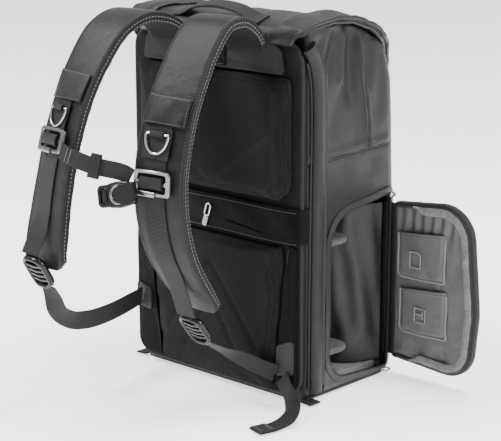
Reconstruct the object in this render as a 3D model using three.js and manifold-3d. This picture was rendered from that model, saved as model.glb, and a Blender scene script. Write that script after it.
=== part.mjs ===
// Camera backpack with a side door, standing on its base: a soft bag with an arched top flap, a padded back,
// two shoulder straps joined by a chest strap, and the side door folded open.
// Millimetres, +Z up. The harness faces -Y, the front +Y and the side door +X.
// The origin is the middle of the base, on the floor.
import * as THREE from "three";
import { mergeVertices } from "three/addons/utils/BufferGeometryUtils.js";
import Module from "manifold-3d";

const wasm = await Module();
wasm.setup();

// Driving dimensions
const gap = 0.35; // between pieces that touch
const bag = {
  width: 278, depth: 190, height: 462, // over the bag itself
  wall: 5, floor: 5, backCorner: 4, frontCorner: 30,
};
const board = { thick: 12, below: 26, bottom: 10, corner: 26, bevel: 3 }; // its top lies below the bag's height
const flap = { thick: 3, overhang: 9, lift: 6, crown: 4, sink: 4, frontDrop: 134, back: 2 };
const yoke = { thick: 8, height: 38, halfWidth: 118, taper: 6, topGap: 2, corner: 4, topCorner: 14 };
const upperPad = { thick: 12, bottom: 246, halfWidth: 130, corner: 22, topCorner: 8, bevel: 4 };
const lowerPad = {
  thick: 11, bottom: 12, below: 2, corner: 8, topCorner: 5, bevel: 4,
  right: { low: 101, top: 121 }, left: { low: -90, top: -113 }, // where its edges run, at its foot and at its top
};
const wing = { thick: 4, apart: 1.5, raised: 2, inset: 3, corner: 20, topCorner: 3 };
const band = { thick: 2, bottom: 199, height: 42, stand: 7.5 };
const piping = { wide: 20, proud: 8, bottom: 12, below: 30 };
const doorway = {
  rear: -42, front: 76, frontLow: 11, rearLow: 20, frontHigh: 237, rearHigh: 222,
  corner: 6, rearLowCorner: 36, rearHighCorner: 42, rimWide: 7, rimThick: 2.4,
};
const door = {
  width: 128, height: 212, bottom: 19, thick: 8, lining: 2, bandWide: 11, bandThick: 3, edge: 5, cornerTop: 44,
  cornerBottom: 36, cornerSide: 110, corner: 3, bandStart: 40, hingeThick: 6, hingeReach: 16,
  pocketThick: 3, pocketWide: 70, pocketHigh: 56, pocketSlant: 6,
};
const inside = {
  clear: 2, floorThick: 11, shelfFront: 12, shelfCorner: 18, shelfThick: 9, shelfLow: 45, shelfHigh: 183,
};
const lining = { thick: 1.6, top: 222 };
const strap = {
  wide: 66, thick: 15, centre: 61, turn: 10, bevel: 3.5, webbing: 25, webThick: 1.6, railWide: 30, railShift: -4,
  coverHigh: 30, coverInset: 4, coverThick: 2.2, anchorThick: 3, anchorCorner: 4,
};
const ring = { wire: 3.2, wide: 34, drop: 25, swing: 0.5, loopWide: 18, loopWall: 1.2, shoulder: 1.5 };
const frame = { wide: 50, high: 29, bar: 5.5, thick: 5, corner: 4, bevel: 1.2 };
const ladder = { wide: 36, long: 46, thick: 9, corner: 13, rim: 5, slot: 4.2, bevel: 1.6 };
const chest = { buckleLong: 50, buckleWide: 26, buckleThick: 9, keeperWide: 31, keeperThick: 5, bevel: 1.5 };
const handle = { wide: 24, thick: 3, halfSpan: 70, rise: 14, foot: 3, inset: 8 };
const pull = { wire: 1.1, tabWide: 7.5, tabLong: 15, tabThick: 2, lean: 18, up: 23, across: -4 };
const sideLoop = { wide: 9, high: 46, wire: 1.3, inset: 14.8, middle: 42 };
const footLoop = { wide: 20, thick: 2, inset: 15 };

const halfWidth = bag.width / 2;
const backFace = -bag.depth / 2; // outer face of the back board
const shellBack = backFace + board.thick + gap;
const frontFace = bag.depth / 2;
const boardTop = bag.height - board.below;
// A point beside the harness: x, the distance out from the back's face, and the height as a share of the bag's
const onBack = (x, out, up) => [x, backFace - out, up * bag.height];

// Finishes
const finish = (color, roughness, metalness = 0) =>
  new THREE.MeshStandardMaterial({ color, roughness, metalness });
const nylon = finish(0x3c3c40, 0.55);
const mesh = finish(0x1e1e21, 0.9);
const webbing = finish(0x232326, 0.75);
const satin = finish(0x77777c, 0.5);
const felt = finish(0x8f8f92, 0.95);
const binding = finish(0x141416, 0.8);
const plastic = finish(0x18181a, 0.4);
const metal = finish(0xb4b6ba, 0.3, 1);

const part = new THREE.Group();

// Adds one named piece
function add(name, geometry, material) {
  const piece = new THREE.Mesh(geometry, material);
  piece.name = name;
  part.add(piece);
  return piece;
}

// Six times the volume that the faces enclose, negative where they point inwards
function signedVolume(points, faces) {
  const [a, b, c] = [0, 1, 2].map(() => new THREE.Vector3());
  let sum = 0;
  for (const [i, j, k] of faces)
    sum += a.fromArray(points[i]).dot(b.fromArray(points[j]).cross(c.fromArray(points[k])));
  return sum;
}

// A closed body from points and triangles, turned so that its faces point out
function bodyOf(points, faces) {
  const turned = signedVolume(points, faces) < 0 ? faces.map(([i, j, k]) => [i, k, j]) : faces;
  const geometry = new THREE.BufferGeometry();
  geometry.setAttribute("position", new THREE.Float32BufferAttribute(points.flat(), 3));
  geometry.setIndex(turned.flat());
  return geometry;
}

// A skin through closed loops of equally many points, with a fan over each end, or joined end to start
function loft(loops, closed = false) {
  const count = loops[0].length;
  const points = loops.flat();
  const faces = [];
  const last = closed ? loops.length : loops.length - 1;
  for (let i = 0; i < last; i++) {
    const next = ((i + 1) % loops.length) * count;
    for (let j = 0; j < count; j++) {
      const k = (j + 1) % count;
      faces.push([i * count + j, i * count + k, next + k], [i * count + j, next + k, next + j]);
    }
  }
  if (!closed)
    for (const [loop, start, flip] of [[loops[0], 0, true], [loops.at(-1), (loops.length - 1) * count, false]]) {
      const middle = points.push(loop.reduce((s, p) => s.map((v, n) => v + p[n] / count), [0, 0, 0])) - 1;
      for (let j = 0; j < count; j++) {
        const k = (j + 1) % count;
        faces.push(flip ? [middle, start + k, start + j] : [middle, start + j, start + k]);
      }
    }
  return bodyOf(points, faces);
}

// Corner points (u, v, radius) joined by straight lines and arcs
function rounded(corners, steps = 3) {
  const out = [];
  corners.forEach(([u, v, radius], i) => {
    const corner = new THREE.Vector2(u, v);
    const before = corners[(i + corners.length - 1) % corners.length];
    const after = corners[(i + 1) % corners.length];
    const back = new THREE.Vector2(before[0], before[1]).sub(corner).normalize();
    const ahead = new THREE.Vector2(after[0], after[1]).sub(corner).normalize();
    const half = Math.acos(THREE.MathUtils.clamp(back.dot(ahead), -1, 1)) / 2;
    if (!radius || half > 1.55) {
      out.push(corner);
      return;
    }
    const centre = back.clone().add(ahead).normalize().multiplyScalar(radius / Math.sin(half)).add(corner);
    const from = back.clone().multiplyScalar(radius / Math.tan(half)).add(corner).sub(centre);
    const to = ahead.clone().multiplyScalar(radius / Math.tan(half)).add(corner).sub(centre);
    const turn = Math.atan2(from.cross(to), from.dot(to));
    for (let n = 0; n <= steps; n++)
      out.push(from.clone().rotateAround(new THREE.Vector2(), (turn * n) / steps).add(centre));
  });
  return out;
}

// A plate in the X-Z plane from its outline, reaching from y = near towards +Y
function plateXZ(outline, near, thick, bevel = 0, hole = null) {
  const shape = new THREE.Shape(outline);
  if (hole) shape.holes.push(new THREE.Path(hole));
  const geometry = new THREE.ExtrudeGeometry(shape, {
    depth: thick - 2 * bevel, bevelEnabled: bevel > 0, bevelThickness: bevel, bevelSize: bevel,
    bevelOffset: -bevel, bevelSegments: 2, steps: 1,
  });
  return geometry.rotateX(Math.PI / 2).translate(0, near + thick - bevel, 0);
}

// A bar along X from its outline in the Y-Z plane
function barX(outline, from, to) {
  const geometry = new THREE.ExtrudeGeometry(new THREE.Shape(outline), { depth: to - from, bevelEnabled: false });
  const turn = new THREE.Matrix4().makeBasis(
    new THREE.Vector3(0, 1, 0), new THREE.Vector3(0, 0, 1), new THREE.Vector3(1, 0, 0));
  return geometry.applyMatrix4(turn).translate(from, 0, 0);
}

// A geometry as a solid that can be cut and joined, and back
function solidOf(geometry) {
  const plain = new THREE.BufferGeometry();
  plain.setAttribute("position", geometry.getAttribute("position").clone());
  if (geometry.index) plain.setIndex(geometry.index.clone());
  const merged = mergeVertices(plain, 1e-3);
  return new wasm.Manifold(new wasm.Mesh({
    numProp: 3, vertProperties: merged.attributes.position.array, triVerts: new Uint32Array(merged.index.array),
  }));
}
function geometryOf(solid) {
  const made = solid.getMesh();
  const geometry = new THREE.BufferGeometry();
  geometry.setAttribute("position", new THREE.BufferAttribute(made.vertProperties, 3));
  geometry.setIndex(new THREE.BufferAttribute(made.triVerts, 1));
  return geometry;
}
const join = (...pieces) => geometryOf(pieces.map(solidOf).reduce((a, b) => a.add(b)));
const cut = (body, ...cutters) => geometryOf(cutters.map(solidOf).reduce((a, b) => a.subtract(b), solidOf(body)));
const keep = (body, other) => geometryOf(solidOf(body).intersect(solidOf(other)));

// A straight-sided section (across, out) with bevelled corners, out measured from the face at 0 inwards
function stripSection(wide, thick, bevel) {
  const a = wide / 2;
  return bevel
    ? [[-a + bevel, 0], [a - bevel, 0], [a, -bevel], [a, bevel - thick], [a - bevel, -thick], [bevel - a, -thick],
      [-a, bevel - thick], [-a, -bevel]]
    : [[-a, 0], [a, 0], [a, -thick], [-a, -thick]];
}

// Frames along a smooth line through rows {at, across, wide, thick}; out is square to both line and across
function framesAlong(rows, steps) {
  const curve = new THREE.CatmullRomCurve3(rows.map((r) => new THREE.Vector3(...r.at)), false, "centripetal");
  return Array.from({ length: steps + 1 }, (_, n) => {
    const u = n / steps;
    const place = Math.min(u * (rows.length - 1), rows.length - 1 - 1e-9);
    const [low, share] = [Math.floor(place), place - Math.floor(place)];
    const mix = (key, plain) => THREE.MathUtils.lerp(rows[low][key] ?? plain, rows[low + 1][key] ?? plain, share);
    const along = curve.getTangent(u);
    const across = new THREE.Vector3(...(rows[low].across ?? [1, 0, 0]))
      .lerp(new THREE.Vector3(...(rows[low + 1].across ?? [1, 0, 0])), share);
    across.addScaledVector(along, -across.dot(along)).normalize();
    return { at: curve.getPoint(u), along, across, out: along.clone().cross(across).normalize(),
      wide: mix("wide", 1), thick: mix("thick", 1) };
  });
}

// The point beside a frame, this far across and out
const placed = (f, across, out) =>
  f.at.clone().addScaledVector(f.across, across).addScaledVector(f.out, out).toArray();

// A strip of cloth or webbing along frames; wide and thick are multiplied by each frame's shares
function strip(rows, steps, wide, thick, bevel = 0, lift = 0) {
  return loft(framesAlong(rows, steps).map((f) =>
    stripSection(wide * f.wide, thick * f.thick, bevel * f.thick).map(([a, o]) => placed(f, a, o + lift))));
}

// The bag's body: horizontal sections, each row's front and side as shares of half the depth and width
const bodySections = [
  { up: 0.0, front: 0.93, side: 0.95 },
  { up: 0.02, front: 0.97, side: 0.985 },
  { up: 0.1, front: 1.0, side: 1.0 },
  { up: 0.32, front: 1.02, side: 1.0 },
  { up: 0.5, front: 1.02, side: 1.0 },
  { up: 0.64, front: 0.985, side: 1.0 },
  { up: 0.73, front: 0.965, side: 1.0 },
  { up: 0.82, front: 0.93, side: 1.0 },
  { up: 0.87, front: 0.85, side: 1.0 },
  { up: 0.92, front: 0.76, side: 0.995 },
  { up: 1.02, front: 0.5, side: 0.985 },
];
// Gathers at the top of each side: depth at the top edge; place and half breadth as shares of the bag's depth
const gathers = [
  { at: -0.074, deep: 7, broad: 0.074 },
  { at: 0.116, deep: 5, broad: 0.042 },
];
const gatherShares = { from: 0.645, to: 0.93 }; // of the height: the sides' cross seam, and where they are deepest

function sideDent(y, up) {
  const rise = THREE.MathUtils.smoothstep(up, gatherShares.from, gatherShares.to);
  return gathers.reduce((sum, g) => sum + g.deep * rise * Math.exp(-(((y / bag.depth - g.at) / g.broad) ** 2)), 0);
}

function bodyLoop(row, inset) {
  const side = halfWidth * row.side - inset;
  const front = frontFace * row.front - inset;
  const back = shellBack + inset;
  const outline = rounded([
    [side, back, Math.max(bag.backCorner - inset, 1)], [side, front, Math.max(bag.frontCorner - inset, 1)],
    [-side, front, Math.max(bag.frontCorner - inset, 1)], [-side, back, Math.max(bag.backCorner - inset, 1)],
  ], 3);
  const out = [];
  outline.forEach((p, i) => {
    const next = outline[(i + 1) % outline.length];
    out.push([p.x, p.y]);
    if (Math.abs(p.x - next.x) < 1e-6 && Math.abs(p.y - next.y) > 50)
      for (let n = 1; n < 8; n++) out.push([p.x, THREE.MathUtils.lerp(p.y, next.y, n / 8)]);
  });
  return out.map(([x, y]) => [x - Math.sign(x) * (Math.abs(x) > side - 1 ? sideDent(y, row.up) : 0), y]);
}
const bodySkin = (inset, from = 0) => loft(bodySections.filter((r, i) => r.up * bag.height > from || i === 0)
  .map((row, i) => bodyLoop(row, inset).map(([x, y]) => [x, y, i === 0 && from ? from : row.up * bag.height])));

// The flap's line from the back edge over the top and down the front: back to front as a share of the bag's depth,
// down as a share of the front drop, and its half width as a share of its widest
const flapLine = [
  { on: 0, down: 0.179, wide: 0.84 }, { on: 0.011, down: 0.082, wide: 0.96 }, { on: 0.074, down: 0.03, wide: 1 },
  { on: 0.184, down: 0, wide: 1 }, { on: 0.358, down: -0.007, wide: 1 }, { on: 0.489, down: 0.022, wide: 1 },
  { on: 0.632, down: 0.09, wide: 1 }, { on: 0.753, down: 0.187, wide: 0.975 },
  { on: 0.868, down: 0.306, wide: 0.89 }, { on: 0.963, down: 0.47, wide: 0.79 },
  { on: 1.011, down: 0.679, wide: 0.73 }, { on: 1.029, down: 0.851, wide: 0.71 }, { on: 1.037, down: 1, wide: 0.68 },
].map(({ on, down, wide }) => ({
  at: [0, backFace - flap.back + on * bag.depth, bag.height - flap.sink - down * flap.frontDrop], wide,
}));

// How far the flap stands over its line: a soft crown, and the doubled strips along its two ends
const flapEnds = [
  { share: 0, rise: 0 }, { share: 0.54, rise: 0 }, { share: 0.6, rise: 1 }, { share: 0.93, rise: 0.9 },
  { share: 1, rise: 0.1 },
];
const flapSteps = 22;
function flapRise(share) {
  const at = Math.abs(share);
  const i = Math.max(flapEnds.findIndex((row) => at <= row.share), 1);
  const [low, high] = [flapEnds[i - 1], flapEnds[i]];
  const strip = THREE.MathUtils.lerp(low.rise, high.rise, (at - low.share) / (high.share - low.share));
  return (flap.crown / 2) * (1 - at * at) + flap.lift * strip;
}
function topFlap() {
  const shares = [-1, -0.93, -0.75, -0.6, -0.54, -0.3, 0, 0.3, 0.54, 0.6, 0.75, 0.93, 1];
  const loops = framesAlong(flapLine, flapSteps).map((f) => {
    const reach = (halfWidth + flap.overhang) * f.wide;
    const skin = (deep) => shares.map((s) => placed(f, s * reach, deep - flapRise(s)));
    return [...skin(0), ...skin(flap.thick).reverse()];
  });
  return sheetLoft(loops, shares.length);
}
// A loft whose end caps are strips between the outer and inner halves of the loop
function sheetLoft(loops, across) {
  const count = loops[0].length;
  const points = loops.flat();
  const faces = [];
  for (let i = 0; i + 1 < loops.length; i++)
    for (let j = 0; j < count; j++) {
      const k = (j + 1) % count;
      const next = (i + 1) * count;
      faces.push([i * count + j, i * count + k, next + k], [i * count + j, next + k, next + j]);
    }
  for (const [start, flip] of [[0, true], [(loops.length - 1) * count, false]])
    for (let j = 0; j + 1 < across; j++) {
      const [a, b, c, d] = [j, j + 1, count - 2 - j, count - 1 - j].map((n) => start + n);
      faces.push(...(flip ? [[a, c, b], [a, d, c]] : [[a, b, c], [a, c, d]]));
    }
  return bodyOf(points, faces);
}

// The space below the flap, as a long prism across the bag
function belowFlap() {
  const edge = framesAlong(flapLine, flapSteps).map((f) =>
    f.at.clone().addScaledVector(f.out, flap.thick + 2 * gap));
  const far = bag.width;
  const line = edge.map((p) => new THREE.Vector2(p.y, p.z));
  const [first, end] = [line[0], line.at(-1)];
  return barX([new THREE.Vector2(-far, -far), new THREE.Vector2(far, -far), new THREE.Vector2(far, end.y),
    ...line.reverse(), new THREE.Vector2(-far, first.y)], -far, far);
}

// The door's way through the right side, grown by a margin
const doorwayOutline = (margin) => rounded([
  [doorway.rear - margin, doorway.rearLow - margin, doorway.rearLowCorner + margin],
  [doorway.front + margin, doorway.frontLow - margin, doorway.corner + margin],
  [doorway.front + margin, doorway.frontHigh + margin, doorway.corner + margin],
  [doorway.rear - margin, doorway.rearHigh + margin, doorway.rearHighCorner + margin],
]);
const throughSide = (outline) => barX(outline, halfWidth - bag.frontCorner, halfWidth + bag.frontCorner);
const openBag = cut(bodySkin(0), bodySkin(bag.wall, bag.floor), throughSide(doorwayOutline(0)));
add("main_shell", keep(openBag, belowFlap()), nylon);
add("top_flap", topFlap(), nylon);

// The rim follows the body's outside round the doorway
const rimLayer = cut(bodySkin(-gap - doorway.rimThick), bodySkin(-gap));
add("doorway_rim", cut(keep(rimLayer, throughSide(doorwayOutline(doorway.rimWide))), throughSide(doorwayOutline(gap))),
  binding);

// Back of the bag: a stiff board with its pads, yoke and luggage band
add("back_board", plateXZ(rounded([
  [-halfWidth, board.bottom, board.corner], [halfWidth, board.bottom, board.corner],
  [halfWidth, boardTop, board.corner], [-halfWidth, boardTop, board.corner],
]), backFace, board.thick, board.bevel), mesh);
const onBoard = (thick) => backFace - gap - thick; // near face of a pad of this thickness
const yokeTop = boardTop - yoke.topGap;
const yokeBottom = boardTop - yoke.height;
const yokeNarrow = yoke.halfWidth - yoke.taper;
add("yoke", plateXZ(rounded([
  [-yoke.halfWidth, yokeBottom, yoke.corner], [yoke.halfWidth, yokeBottom, yoke.corner],
  [yokeNarrow, yokeTop, yoke.topCorner], [-yokeNarrow, yokeTop, yoke.topCorner],
]), onBoard(yoke.thick), yoke.thick, 2), webbing);
const upperTop = yokeBottom - gap;
add("upper_back_pad", plateXZ(rounded([
  [-upperPad.halfWidth, upperPad.bottom, upperPad.corner], [upperPad.halfWidth, upperPad.bottom, upperPad.corner],
  [upperPad.halfWidth, upperTop, upperPad.topCorner], [-upperPad.halfWidth, upperTop, upperPad.topCorner],
]), onBoard(upperPad.thick), upperPad.thick, upperPad.bevel), mesh);
const padTop = band.bottom - lowerPad.below;
add("lower_back_pad", plateXZ(rounded([
  [lowerPad.left.low, lowerPad.bottom, lowerPad.corner], [lowerPad.right.low, lowerPad.bottom, lowerPad.corner],
  [lowerPad.right.top, padTop, lowerPad.topCorner], [lowerPad.left.top, padTop, lowerPad.topCorner],
]), onBoard(lowerPad.thick), lowerPad.thick, lowerPad.bevel), mesh);
// The piping up each back corner: half an oval along a line, out from the back's face and up as a share of its run
const pipingLine = [
  { out: -27, up: 0 }, { out: -27, up: 0.257 }, { out: -28, up: 0.567 }, { out: -28, up: 0.852 },
  { out: -25, up: 0.924 }, { out: -18, up: 0.971 }, { out: -10, up: 1 },
];
const pipingArch = [[-1, 0], [1, 0], [0.88, 0.55], [0.45, 0.92], [0, 1], [-0.45, 0.92], [-0.88, 0.55]];
const pipingRun = bag.height - piping.below - piping.bottom;
for (const [name, side] of [["right", 1], ["left", -1]]) {
  const [top, low] = [lowerPad[name].top, lowerPad[name].low].map((x) => x + side * wing.apart);
  const outer = side * (halfWidth - wing.inset);
  const foot = lowerPad.bottom + wing.raised;
  add("back_wing_" + name, plateXZ(rounded([
    [low, foot, 2], [outer, foot, wing.corner], [outer, padTop, wing.topCorner], [top, padTop, 2],
  ]), onBoard(wing.thick), wing.thick, 1), nylon);
  const rows = pipingLine.map(({ out, up }) => ({
    at: [side * (halfWidth + gap), backFace - out, piping.bottom + up * pipingRun], across: [0, -side, 0],
  }));
  add("edge_piping_" + name, loft(framesAlong(rows, 14).map((f) => pipingArch.map(([a, o]) =>
    placed(f, (a * piping.wide) / 2, o * piping.proud)))), nylon);
}
// The band stands off the board, so that it slips over a case's handle, and turns round both corners:
// x as a share of its half width with a small shift, y as a share of its stand
const bandLine = [
  { share: 1, shift: 0, out: -1.93 }, { share: 1, shift: 0.4, out: -0.4 }, { share: 0.992, shift: 0, out: 0.48 },
  { share: 0.93, shift: 0, out: 0.88 }, { share: 0.6, shift: 0, out: 0.96 }, { share: 0, shift: 0, out: 1 },
];
const bandRows = [
  ...bandLine, ...bandLine.slice(0, -1).reverse().map((row) => ({ ...row, share: -row.share, shift: -row.shift })),
].map(({ share, shift, out }) => ({
  at: [share * (halfWidth + gap + band.thick) + shift, backFace - out * band.stand, band.bottom + band.height / 2],
  across: [0, 0, -1],
}));
add("luggage_band", strip(bandRows, 28, band.height, band.thick), nylon);

// The grab handle, an arch of webbing over the flap's back edge: x as a share of its half span, z of its rise
const handleLine = [
  { share: -1, y: 3, up: 0 }, { share: -0.83, y: 2.5, up: 0.086 }, { share: -0.5, y: 0, up: 0.72 },
  { share: 0, y: -1, up: 1 }, { share: 0.5, y: 0, up: 0.72 }, { share: 0.83, y: 2.5, up: 0.086 },
  { share: 1, y: 3, up: 0 },
];
add("grab_handle", strip(handleLine.map(({ share, y, up }) => ({
  at: [share * handle.halfSpan, backFace + handle.inset + y, bag.height - handle.foot + up * handle.rise],
  across: [0, 1, 0.3],
})), 18, handle.wide, handle.thick), nylon);

// Inside: felt floor, two padded shelves and the loose lining at the front
const slab = (outline, low, thick) =>
  new THREE.ExtrudeGeometry(new THREE.Shape(outline), { depth: thick, bevelEnabled: false }).translate(0, 0, low);
const insideX = halfWidth - bag.wall - inside.clear;
const insideBack = shellBack + bag.wall + inside.clear / 2;
const floorX = halfWidth * bodySections[0].side - bag.wall - inside.clear / 2;
const floorFront = frontFace * bodySections[0].front - bag.wall - inside.clear / 2;
const floorLow = bag.floor + gap;
add("floor_pad", slab(rounded([
  [-floorX, insideBack, 6], [floorX, insideBack, 6], [floorX, floorFront, 24], [-floorX, floorFront, 24],
]), floorLow, inside.floorThick), felt);
const shelfX = insideX - 0.5;
const shelfBack = insideBack - 0.5;
for (const [name, low] of [["shelf_lower", inside.shelfLow], ["shelf_upper", inside.shelfHigh]])
  add(name, slab(rounded([
    [-shelfX, shelfBack, 3], [shelfX, shelfBack, 3], [shelfX, inside.shelfFront, inside.shelfCorner],
    [-shelfX, inside.shelfFront, 3],
  ]), low, inside.shelfThick), felt);
// The lining's path in plan, from the doorway's front edge to the far wall: shares of the half width and half depth
const liningLine = [
  { x: 0.958, y: 0.79 }, { x: 0.916, y: 0.61 }, { x: 0.848, y: 0.4 }, { x: 0.727, y: 0.253 },
  { x: 0.545, y: 0.189 }, { x: 0.152, y: 0.174 }, { x: -0.992, y: 0.168 },
];
const liningLow = floorLow + inside.floorThick + gap;
add("front_lining", strip(liningLine.map(({ x, y }) => ({
  at: [x * insideX, y * frontFace, (lining.top + liningLow) / 2], across: [0, 0, 1],
})), 16, lining.top - liningLow, lining.thick), satin);

// The side door, folded right out: a padded panel with its lining, felt band, edge binding and two pockets
const doorNear = doorway.front + 4; // inner face of the padded panel
const hingeX = halfWidth + 3;
// Its corners as shares of its width and height
const doorOutline = (inset) => {
  const at = (across, up, inX, inZ) => [
    hingeX + across * door.width + inX * inset, door.bottom + up * door.height + inZ * inset,
  ];
  return rounded([
    [...at(0, 0.019, 1, 1), door.corner], [...at(0.9375, -0.019, -1, 1), door.cornerBottom - inset],
    [...at(1, 0.387, -1, 0), door.cornerSide], [...at(0.898, 1.019, -1, -1), door.cornerTop - inset],
    [...at(0, 0.967, 1, -1), door.corner],
  ]);
};
const liningNear = doorNear - gap - door.lining;
const liningFace = liningNear - gap;
add("door_panel", plateXZ(doorOutline(door.edge), doorNear, door.thick), nylon);
add("door_binding", plateXZ(doorOutline(0), doorNear - door.lining - 1, door.thick + door.lining + 2, 0,
  doorOutline(door.edge - gap)), binding);
add("door_lining", plateXZ(doorOutline(door.edge), liningNear, door.lining), satin);
// The felt band runs along the free edges only
const freeSide = plateXZ([[door.bandStart, -1], [2 * door.width, -1], [2 * door.width, 2], [door.bandStart, 2]]
  .map(([x, up]) => new THREE.Vector2(hingeX + x, up * door.height)), 0, bag.depth);
add("door_felt_band", keep(plateXZ(doorOutline(door.edge), liningFace - door.bandThick, door.bandThick, 0,
  doorOutline(door.edge + door.bandWide)), freeSide), felt);
// The pockets' lower corners as shares of the door's width and height
const pockets = { upper: { across: 0.078, up: 0.533 }, lower: { across: 0.109, up: 0.198 } };
for (const [name, { across, up }] of Object.entries(pockets)) {
  const [x, z] = [hingeX + across * door.width, door.bottom + up * door.height];
  add("door_pocket_" + name, plateXZ(rounded([
    [x, z, 6], [x + door.pocketWide, z + 1, 8], [x + door.pocketWide, z + door.pocketHigh + door.pocketSlant, 3],
    [x, z + door.pocketHigh, 3],
  ]), liningFace - door.pocketThick, door.pocketThick, 0.8), satin);
}
const hingeEnds = [halfWidth - door.hingeReach, hingeX - gap];
const hingeStrip = slab([[0, 0], [1, 0], [1, 1], [0, 1]].map(([end, far]) =>
  new THREE.Vector2(hingeEnds[end], doorNear + far * door.hingeThick)), door.bottom + 6, door.height - 16);
add("door_hinge", cut(hingeStrip, bodySkin(-2 * gap - doorway.rimThick)), binding);

// A closed round bar through a list of points in one plane
function loopBar(points, radius, sides, normal = [0, 0, 1]) {
  const up = new THREE.Vector3(...normal);
  const loops = points.map((p, i) => {
    const at = new THREE.Vector3(...p);
    const before = new THREE.Vector3(...points[(i + points.length - 1) % points.length]);
    const after = new THREE.Vector3(...points[(i + 1) % points.length]);
    const inwards = at.clone().sub(before).normalize();
    const onwards = after.clone().sub(at).normalize();
    const along = inwards.clone().add(onwards).normalize();
    const side = along.clone().cross(up);
    const miter = 1 / Math.max(along.dot(onwards), 0.5);
    return Array.from({ length: sides }, (_, s) => {
      const angle = (2 * Math.PI * (s + 0.5)) / sides;
      return at.clone().addScaledVector(side, radius * miter * Math.cos(angle))
        .addScaledVector(up, radius * Math.sin(angle)).toArray();
    });
  });
  return loft(loops, true);
}

// Places a piece made in a frame's own axes: x across, y back up the line, z out
function seat(geometry, f, lift, shift = 0) {
  const origin = f.at.clone().addScaledVector(f.out, lift).addScaledVector(f.across, shift);
  return geometry.applyMatrix4(
    new THREE.Matrix4().makeBasis(f.across, f.along.clone().negate(), f.out).setPosition(origin));
}

// Plate in x-y with bevelled edges and holes, its underside at z = 0
function buckle(outline, holes, thick, bevel) {
  const shape = new THREE.Shape(outline);
  shape.holes = holes.map((h) => new THREE.Path(h));
  return new THREE.ExtrudeGeometry(shape, {
    depth: thick - 2 * bevel, bevelEnabled: true, bevelThickness: bevel, bevelSize: bevel, bevelOffset: -bevel,
    bevelSegments: 1,
  }).translate(0, 0, bevel);
}
const box2 = (wide, high, radius, x = 0, y = 0) => rounded([
  [x - wide / 2, y - high / 2, radius], [x + wide / 2, y - high / 2, radius],
  [x + wide / 2, y + high / 2, radius], [x - wide / 2, y + high / 2, radius],
], 3);

// The shoulder straps, top to tip: their outer face's distance out from the back, height as a share of the bag's,
// drift from the strap's centre, and how much of the strap's turn about its length they have there
const straps = {
  right: {
    side: 1,
    line: [
      { out: 8.7, up: 0.931, drift: 0, turn: 0 }, { out: 19, up: 0.972, drift: 0, turn: 0 },
      { out: 42, up: 1.009, drift: 0, turn: 0 }, { out: 71, up: 1.004, drift: 0, turn: 0 },
      { out: 95, up: 0.955, drift: 0, turn: 0.2 }, { out: 116, up: 0.883, drift: 0, turn: 0.5 },
      { out: 134, up: 0.805, drift: 0, turn: 0.8 }, { out: 145, up: 0.736, drift: 0, turn: 1 },
      { out: 152, up: 0.671, drift: 0, turn: 1 }, { out: 155, up: 0.602, drift: 0, turn: 1 },
      { out: 152, up: 0.519, drift: 0, turn: 1 }, { out: 140, up: 0.429, drift: 0, turn: 0.7 },
      { out: 116, up: 0.342, drift: 0, turn: 0.3 }, { out: 85, up: 0.266, drift: 0, turn: 0 },
    ],
    heights: { ring: 0.736, frame: 0.621, rail: 0.805, cover: 0.827 },
    tip: [{ out: 117, up: 0.325 }, { out: 111.5, up: 0.292 }, { out: 106.3, up: 0.262 }],
    lock: { at: onBack(57, 88, 0.225), along: [0, 0.6, -0.8] },
    pull: [
      { at: onBack(58, 75.2, 0.174) }, { at: onBack(65, 63, 0.156), across: [0.95, -0.1, 0.3] },
      { at: onBack(80, 39, 0.123), across: [0.55, -0.2, 0.8] },
      { at: onBack(95, 22, 0.097), across: [0.4, -0.2, 0.9] },
      { at: onBack(110, 11, 0.082), across: [0.35, -0.1, 0.93] },
    ],
    anchor: [{ x: 106, up: 0.071 }, { x: 135, up: 0.087 }, { x: 135, up: 0.182 }, { x: 108, up: 0.156 }],
  },
  left: {
    side: -1,
    line: [
      { out: 8.7, up: 0.931, drift: 0, turn: 0 }, { out: 21, up: 0.97, drift: 0, turn: 0 },
      { out: 47, up: 1.002, drift: -2, turn: 0 }, { out: 79, up: 1.009, drift: -4, turn: 0.1 },
      { out: 111, up: 0.976, drift: -8, turn: 0.3 }, { out: 143, up: 0.89, drift: -12, turn: 0.7 },
      { out: 165, up: 0.794, drift: -16, turn: 1 }, { out: 180, up: 0.703, drift: -18, turn: 1 },
      { out: 191, up: 0.613, drift: -19, turn: 1 }, { out: 201, up: 0.517, drift: -19, turn: 0.7 },
      { out: 207, up: 0.435, drift: -19, turn: 0.3 }, { out: 203, up: 0.372, drift: -19, turn: 0 },
    ],
    heights: { ring: 0.773, frame: 0.695, rail: 0.842, cover: 0.864 },
    tip: [{ out: 211, up: 0.459 }, { out: 217.5, up: 0.435 }, { out: 222.4, up: 0.414 }],
    lock: { at: onBack(-83, 208, 0.372), along: [0, 0.51, -0.86] },
    pull: [
      { at: onBack(-82, 199.6, 0.3225) }, { at: onBack(-84, 191, 0.288), across: [0.9, 0.3, 0.3] },
      { at: onBack(-90, 179, 0.242), across: [0.6, 0.3, 0.75] },
      { at: onBack(-97, 153, 0.203), across: [0.2, 0.2, 0.95] },
      { at: onBack(-104, 119, 0.184), across: [0.1, 0.1, 1] }, { at: onBack(-112, 75, 0.18), across: [0.1, 0, 1] },
      { at: onBack(-119, 35, 0.186), across: [0.1, 0, 1] }, { at: onBack(-123, 9.6, 0.193), across: [0.2, 0, 1] },
    ],
    anchor: [{ x: -108, up: 0.156 }, { x: -135, up: 0.1645 }, { x: -135, up: 0.234 }, { x: -108, up: 0.2165 }],
  },
};
const thinRoot = [0.55, 0.8]; // the strap's thickness at its first two rows, as shares
const tipShares = { wide: 0.8, thick: 0.75 };
const railLift = 2 * gap;
const railTop = railLift + strap.webThick + gap;

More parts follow.
